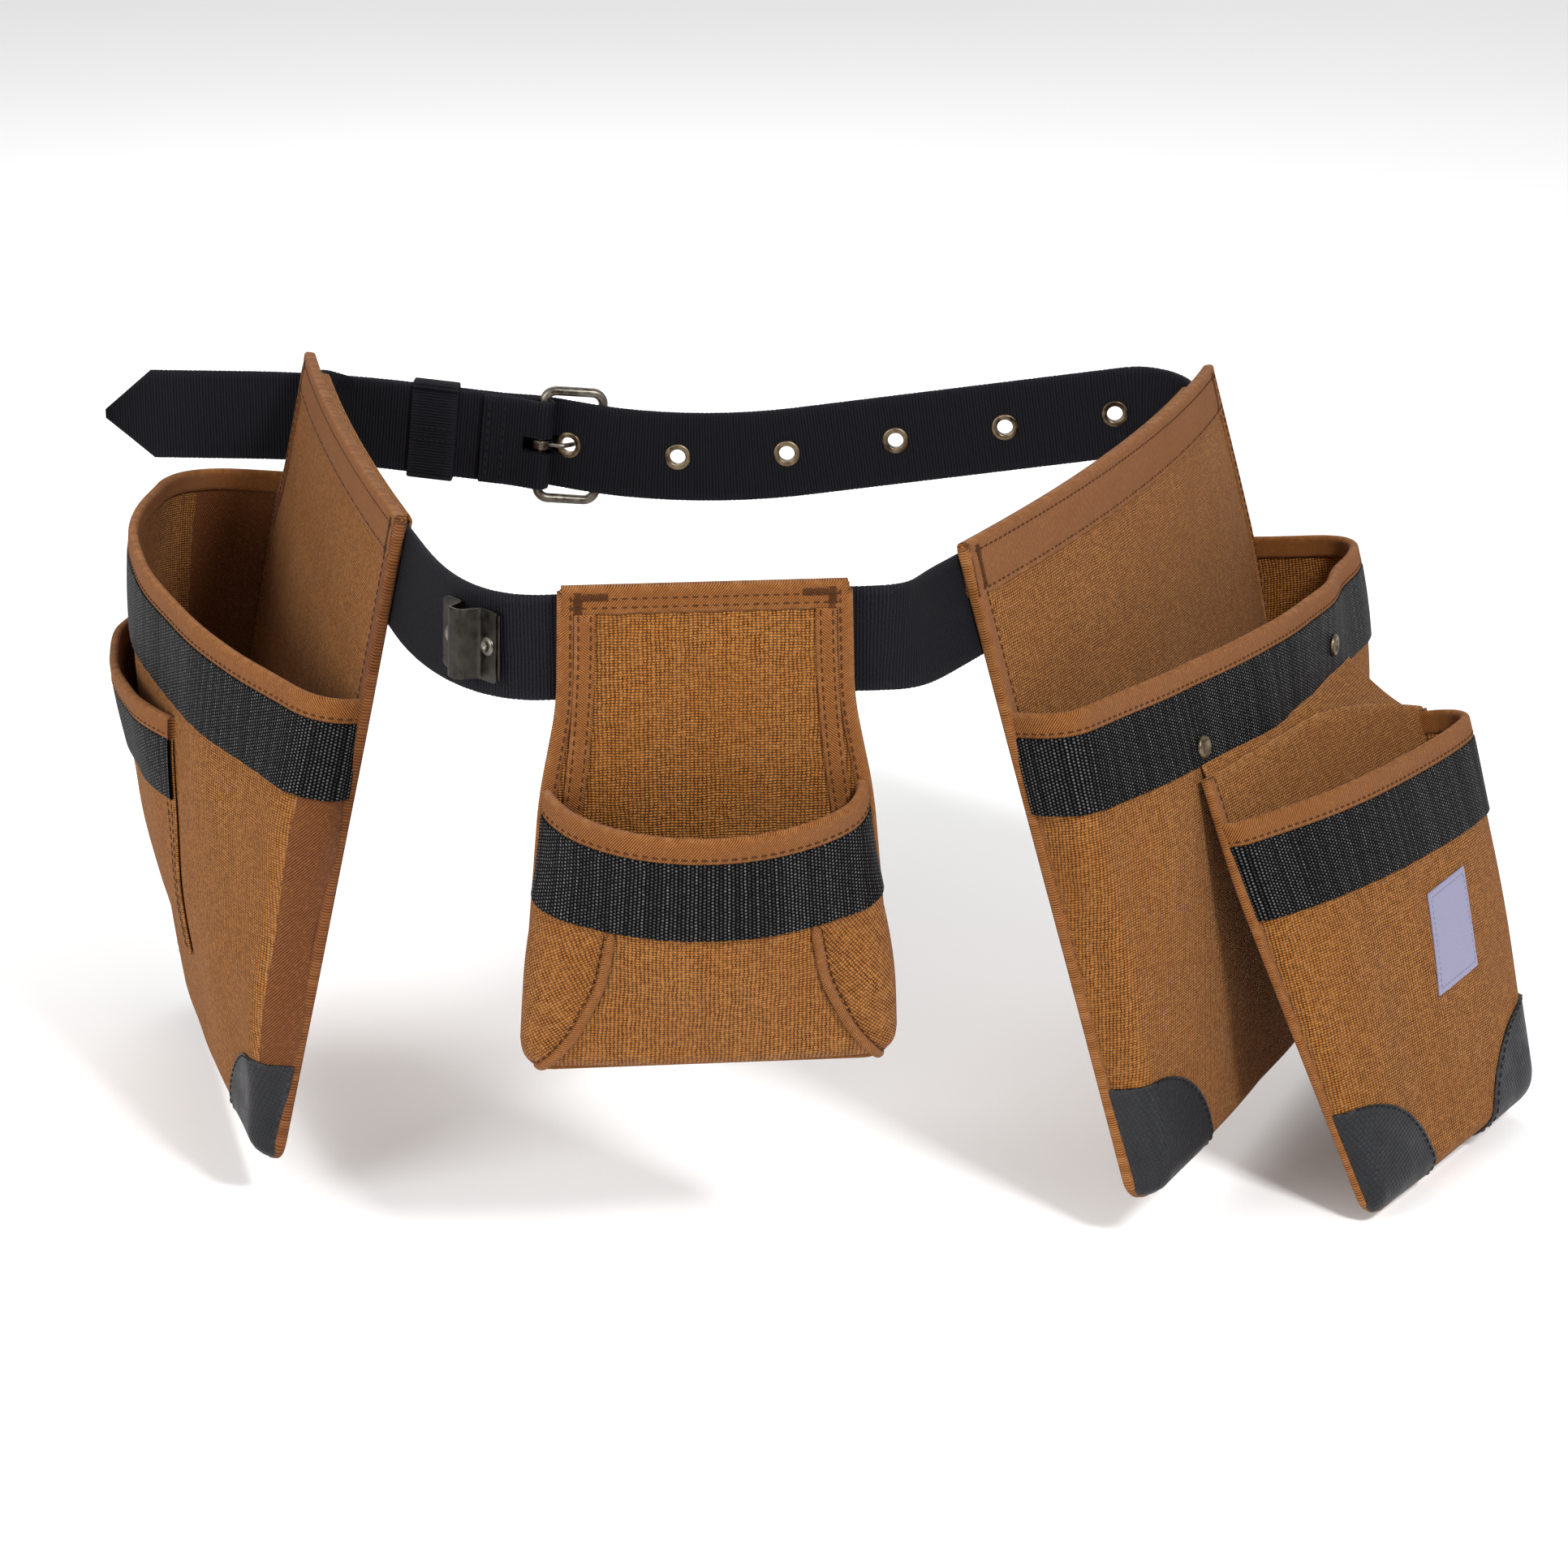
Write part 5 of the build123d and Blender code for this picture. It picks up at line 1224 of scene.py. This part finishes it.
# the centre bag has two piped seams, and its sides are cut on the bias
SEAM = np.array([(62, -153), (49, -138), (39, -116), (34, -88), (33, -60), (33, -50)], float)
seam_z = np.linspace(-153, -40, 60)
seam_reach = np.pad(np.interp(seam_z, SEAM[:, 1], SEAM[:, 0]), 3, mode="edge")
seam_reach = np.convolve(seam_reach, np.ones(7) / 7, "valid")
seam_front, seam_rear = (CENTRE_BAG.q_at(side * seam_reach, seam_z) for side in (-1, 1))
canvas("centre_bag", CENTRE_BAG, seam_front, seam_rear, DUCK, "centre_pouch", ["centre_front_panel"])
canvas("centre_side_front", CENTRE_BAG, 0.0, seam_front, DUCK_BIAS, "centre_pouch", ["centre_gusset"])
canvas("centre_side_rear", CENTRE_BAG, seam_rear, 5.0, DUCK_BIAS, "centre_pouch", ())


def seam_piping(name, side, nodes=()):
    """A folded seam that stands proud of the bag, and the stitching places beside it."""
    z = np.linspace(-152.5, -91.5, 90)
    grown = np.clip((-91.0 - z) / 6.0, 0.3, 1.0)[:, None, None]
    reach = side * np.interp(z, seam_z, seam_reach)
    centre, outward = CENTRE_BAG.skin(CENTRE_BAG.q_at(reach, z), z)
    across = np.cross(unit(np.gradient(centre, axis=0)), outward)
    turns = np.linspace(0, 2 * np.pi, 14, endpoint=False)
    points = centre[:, None] + across[:, None] * (1.8 * np.cos(turns))[None, :, None] * grown
    points = points + outward[:, None] * (0.7 + 1.6 * np.sin(turns))[None, :, None] * grown
    lay = np.stack(np.broadcast_arrays(lengths(centre, 0)[:, None], turns * 1.4, 0.4), axis=-1)
    add_mesh(name, points, tube(90, 14), lay.reshape(-1, 3), TWILL, "centre_pouch", nodes)
    row, row_out = CENTRE_BAG.skin(CENTRE_BAG.q_at(reach + side * 2.6, z), z)
    return row - row_out * 0.05, row_out


seam_rows = [seam_piping("centre_piping_front", -1, ["centre_seam_piping"]), seam_piping("centre_piping_rear", 1)]
stitches("centre_seam_stitches", seam_rows, BROWN_THREAD, "centre_pouch", radius=0.3)

# corner patches, each with a stitched top edge
for key, front_radius, rear_radius in (("right", 47.0, 47.0), ("left", 42.0, 47.0), ("outer", 44.0, 44.0)):
    bag, body = BAGS[key], key + "_pouch"
    rows = [patch(key + "_patch_front", bag, True, body, [key + "_corner_patches"], front_radius),
            patch(key + "_patch_rear", bag, False, body, (), rear_radius)]
    stitches(key + "_patch_stitches", rows, BLACK_THREAD, body, radius=0.34)

# folded strips at the sides of the centre panel
strip_rows = []
for side, end in ((-1, "front"), (1, "rear")):
    z = near_ends(-62, TOP_Z - 8.5, 2.0)[::-1]
    edge = side * (45.5 + 6.0 * np.clip((14 - z) / 76, 0, 1) ** 2)
    reach = edge[None, :] - side * near_ends(0, 7.4, 0.8, 0.8)[:, None]
    points, outward = CENTRE_BAG.panel(reach, PANEL_OUT, z)
    slab("centre_strip_" + end, points, outward, 1.7, 0.1, TWILL, "centre_pouch", cloth=(z, reach))
    strip_rows += [CENTRE_BAG.panel(edge - side * inset, PANEL_OUT + 1.6, z) for inset in (1.5, 5.8)]
stitches("centre_strip_stitches", strip_rows, BROWN_THREAD, "centre_pouch", radius=0.32)

# bartacks: short blocks of dense crosswise stitches that take the strain, as (reach, below the top, length, lean)
BARTACKS = {
    "centre": [(-44.0, 4.6, 8.0, 0.0), (44.0, 4.6, 8.0, 0.0), (-38.0, 2.4, 9.0, 90.0), (38.0, 2.4, 9.0, 90.0)],
    "left": [(-121.0, 8.0, 14.0, 0.0), (119.0, 8.0, 14.0, 0.0)],
    "right": [(-133.0, 9.0, 16.0, 0.0), (138.0, 9.0, 16.0, 0.0)],
}
for key, tacks in BARTACKS.items():
    rows = []
    for reach, below, length, lean in tacks:
        run, lean = np.linspace(-length / 2, length / 2, 20), math.radians(lean)
        rows.append(BAGS[key].panel(
            reach + run * math.sin(lean), PANEL_OUT + TRIM_T + 0.05, TOP_Z - below + run * math.cos(lean)))
    body = key + "_pouch"
    stitches(body + "_bartacks", rows, BROWN_THREAD, body, length=0.55, gap=0.15, radius=0.3, across=3.4)

# ---- slot pocket on the outside of the left pouch -------------------------------------------------
SLOT_FROM, SLOT_TO, SLOT_TOP, SLOT_END = -34.0, 112.0, -94.0, -190.0


def slot_face(reach, z):
    """The pocket's outer face: open at its top, sewn flat along its sides and bottom."""
    points, outward = LEFT_BAG.skin(LEFT_BAG.q_at(reach, z), z)
    sides = np.clip(np.minimum(reach - SLOT_FROM, SLOT_TO - reach) / 34, 0, 1)
    depth = 1.7 + 7.3 * np.sin(np.pi / 2 * sides) * np.clip((z - SLOT_END) / (SLOT_TOP - SLOT_END), 0, 1) ** 0.8
    return points + outward * depth[..., None], outward


def slot_tape(name, section, stop, material, nodes):
    """Tape along the slot pocket's mouth; its section is counted down from the mouth."""
    us = np.arange(SLOT_FROM, stop, 1.2)
    sweep(name, lambda u, w: slot_face(u, SLOT_TOP - w), us, section, material, "left_pouch", nodes)


z = near_ends(SLOT_END, SLOT_TOP, 2.4)[::-1]
slot_width = SLOT_TO - 10 * (SLOT_TOP - z) / (SLOT_TOP - SLOT_END) - SLOT_FROM
reach = SLOT_FROM + slot_width[None, :] * near_ends(0, 1, 0.02, 0.012)[:, None]
points, outward = slot_face(reach, z)
slab("left_slot_cloth", points, outward, 0.0, 1.4, DUCK, "left_pouch", ["left_slot_pocket"], cloth=(reach, z))
slot_tape("left_slot_tape", ring(-1.4, RIM_H, -2.4, 1.3, 1.4), SLOT_TO, TWILL, ["left_slot_binding"])
slot_tape("left_slot_webbing", ring(RIM_H - 0.5, RIM_H + 24, -0.1, 1.4, 1.4), SLOT_TO - 4, BAND, ["left_slot_band"])
down = np.linspace(SLOT_TOP, SLOT_END + 2, 90)
row, row_out = slot_face(np.linspace(SLOT_FROM + 1, SLOT_TO - 1, 120), SLOT_TOP - 5.8)
slot_rows = [(row + row_out * 1.2, row_out)] + [slot_face(SLOT_FROM + inset, down) for inset in (2.0, 5.2)]
stitches("left_slot_stitches", slot_rows, BROWN_THREAD, "left_pouch", radius=0.32)

# ---- flap that joins the outer pouch to the right pouch below its band ----------------------------
# It is sewn on under the right pouch's band and to the top of the outer panel and hangs slack between them, with its
# inner edge on the right pouch and its outer edge on the outer pouch.
HINGE_TURN = math.radians(10.3)
FLAP_T = 1.2
run = near_ends(-82.0, 80.0, 2.4)
flap_q = RIGHT_BAG.q_at(HINGE_REACH + run * math.cos(HINGE_TURN), -93.0)
sewn, sewn_out = RIGHT_BAG.under_rim(flap_q, RIM_H + BAND_H - 3.0)
sewn = (sewn + sewn_out * 0.6)[:, None]
panel_top = OUTER_BAG.lowered(run, -1.0, -1.0, -183.0) - 2.5
held = OUTER_BAG.panel_spot(run, FLAP_T, panel_top)[:, None]
slack = (sewn + held) / 2 - RIGHT.z * 0.16 * np.linalg.norm(held - sewn, axis=-1, keepdims=True)
points = curve(near_ends(0, 1, 0.05, 0.03)[None, :, None], sewn, slack, held)
outward = unit(np.cross(np.gradient(points, axis=0), np.gradient(points, axis=1)))
outward = outward * np.sign(np.sum(outward * RIGHT.z, axis=-1, keepdims=True))
flap = slab("outer_flap", points, outward, 0.0, FLAP_T, DUCK, None, rounding=0.6)
flap_from, flap_to = (RIGHT.at(20.0, -out, -97.0) * MM for out in (45.5, 51.0))
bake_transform(flap)

# ---- label on the outer pouch ---------------------------------------------------------------------
LABEL_CORNERS = np.array([(0, -79), (30, -77), (23, -116), (-8, -118)], float)


def label_spot(s, t):
    """Places inside the label's four corners, and the directions out from it."""
    s, t = (c[..., None] for c in np.broadcast_arrays(s, t))
    a, b, c, d = LABEL_CORNERS
    flat = a * ((1 - s) * (1 - t)) + b * (s * (1 - t)) + c * (s * t) + d * ((1 - s) * t)
    reach, height = flat[..., 0], flat[..., 1]
    return OUTER_BAG.skin(OUTER_BAG.q_at(reach, height), height)


side = near_ends(0, 1, 0.06, 0.04)
points, outward = label_spot(side[:, None], side[None, :])
slab("outer_label_cloth", points, outward, 0.9, 0.1, LABEL, "outer_pouch", ["outer_label"], rounding=0.5)
inset = 0.06
run = np.linspace(inset, 1 - inset, 30)
label_rows = [label_spot(*st) for st in ((run, inset), (run, 1 - inset), (inset, run), (1 - inset, run))]
stitches("outer_label_stitches", [(place + out * 0.8, out) for place, out in label_rows], GREY_THREAD, "outer_pouch",
         length=1.6, gap=0.6, radius=0.24)

# ---- rivets through the right pouch's band --------------------------------------------------------
BAND_RIVET = np.vstack([
    [[0.02, 0.9], [1.2, 0.95], [2.0, 1.05], [2.5, 1.5]],
    half_round(3.0, (1.5, 1.3), 0.4, 0, np.pi / 2, 8),
    [[4.4, -0.3], [0.02, -0.4]],
])
rivet_reaches, rivet_z = np.array([-64.0, 66.0]), -82.0
rivet_seats = []
for place, outward in zip(*RIGHT_BAG.skin(RIGHT_BAG.q_at(rivet_reaches, rivet_z), rivet_z)):
    along = unit(RIGHT.x - outward * np.dot(RIGHT.x, outward))
    rivet_seats.append(Seat(place + outward * 1.6, along, np.cross(along, -outward)))
lathe("band_rivet_caps", rivet_seats, BAND_RIVET, BRASS, "right_pouch", ["band_rivets"])

# ---- studio ---------------------------------------------------------------------------------------
FLOOR_HALF, FLOOR_BELOW = 14.0, 0.004
LIT_MIDDLE = np.array([0.0, 0.0, -0.08])
scene = bpy.context.scene
scene.view_settings.view_transform = "Standard"
camera_data = bpy.data.cameras.new("camera")
camera_data.lens = 93.3
camera_data.sensor_width = 36.0
camera = bpy.data.objects.new("camera", camera_data)
scene.collection.objects.link(camera)
camera.location = (0.0114, -1.473, 0.4363)
camera.rotation_euler = (math.radians(70.0), 0.0, 0.0)
scene.camera = camera

floor_z = cad_box[0].z - FLOOR_BELOW
floor_corners = [(x * FLOOR_HALF, y * FLOOR_HALF, floor_z) for x, y in ((-1, -1), (1, -1), (1, 1), (-1, 1))]
floor_mesh = bpy.data.meshes.new("studio_floor")
floor_mesh.from_pydata(floor_corners, [], [(0, 1, 2, 3)])
floor = bpy.data.objects.new("studio_floor", floor_mesh)
scene.collection.objects.link(floor)
pale = Look("studio_pale", 0.9)
where = pale.source("ShaderNodeTexCoord", "Object")
paleness = pale.mix(pale.noise(where, 2.0, 2.0), shade(250, 250, 250), shade(254, 254, 254))
floor_mesh.materials.append(pale.finish(paleness, pale.noise(where, 40.0, 2.0), 0.05))

world = bpy.data.worlds.new("studio")
scene.world = world
world.use_nodes = True
background = world.node_tree.nodes["Background"]
background.inputs["Color"].default_value = (1.0, 1.0, 1.0, 1.0)
background.inputs["Strength"].default_value = 0.7


def softbox(name, place, width, height, power):
    """A square area light that faces the belt."""
    lamp = bpy.data.lights.new(name, "AREA")
    lamp.shape = "RECTANGLE"
    lamp.size, lamp.size_y, lamp.energy = width, height, power
    holder = bpy.data.objects.new(name, lamp)
    scene.collection.objects.link(holder)
    back = unit(np.array(place) - LIT_MIDDLE)
    across = unit(np.cross((0, 0, 1), back))
    pose = np.eye(4)
    pose[:3] = np.stack([across, np.cross(back, across), back, place], axis=1)
    holder.matrix_world = Matrix(pose)


softbox("key", (1.0, -1.5, 1.5), 0.4, 0.4, 46.0)
softbox("fill", (-1.6, -1.3, 0.7), 1.2, 1.0, 28.0)
softbox("back", (-0.3, 1.6, 1.3), 1.2, 0.8, 12.0)
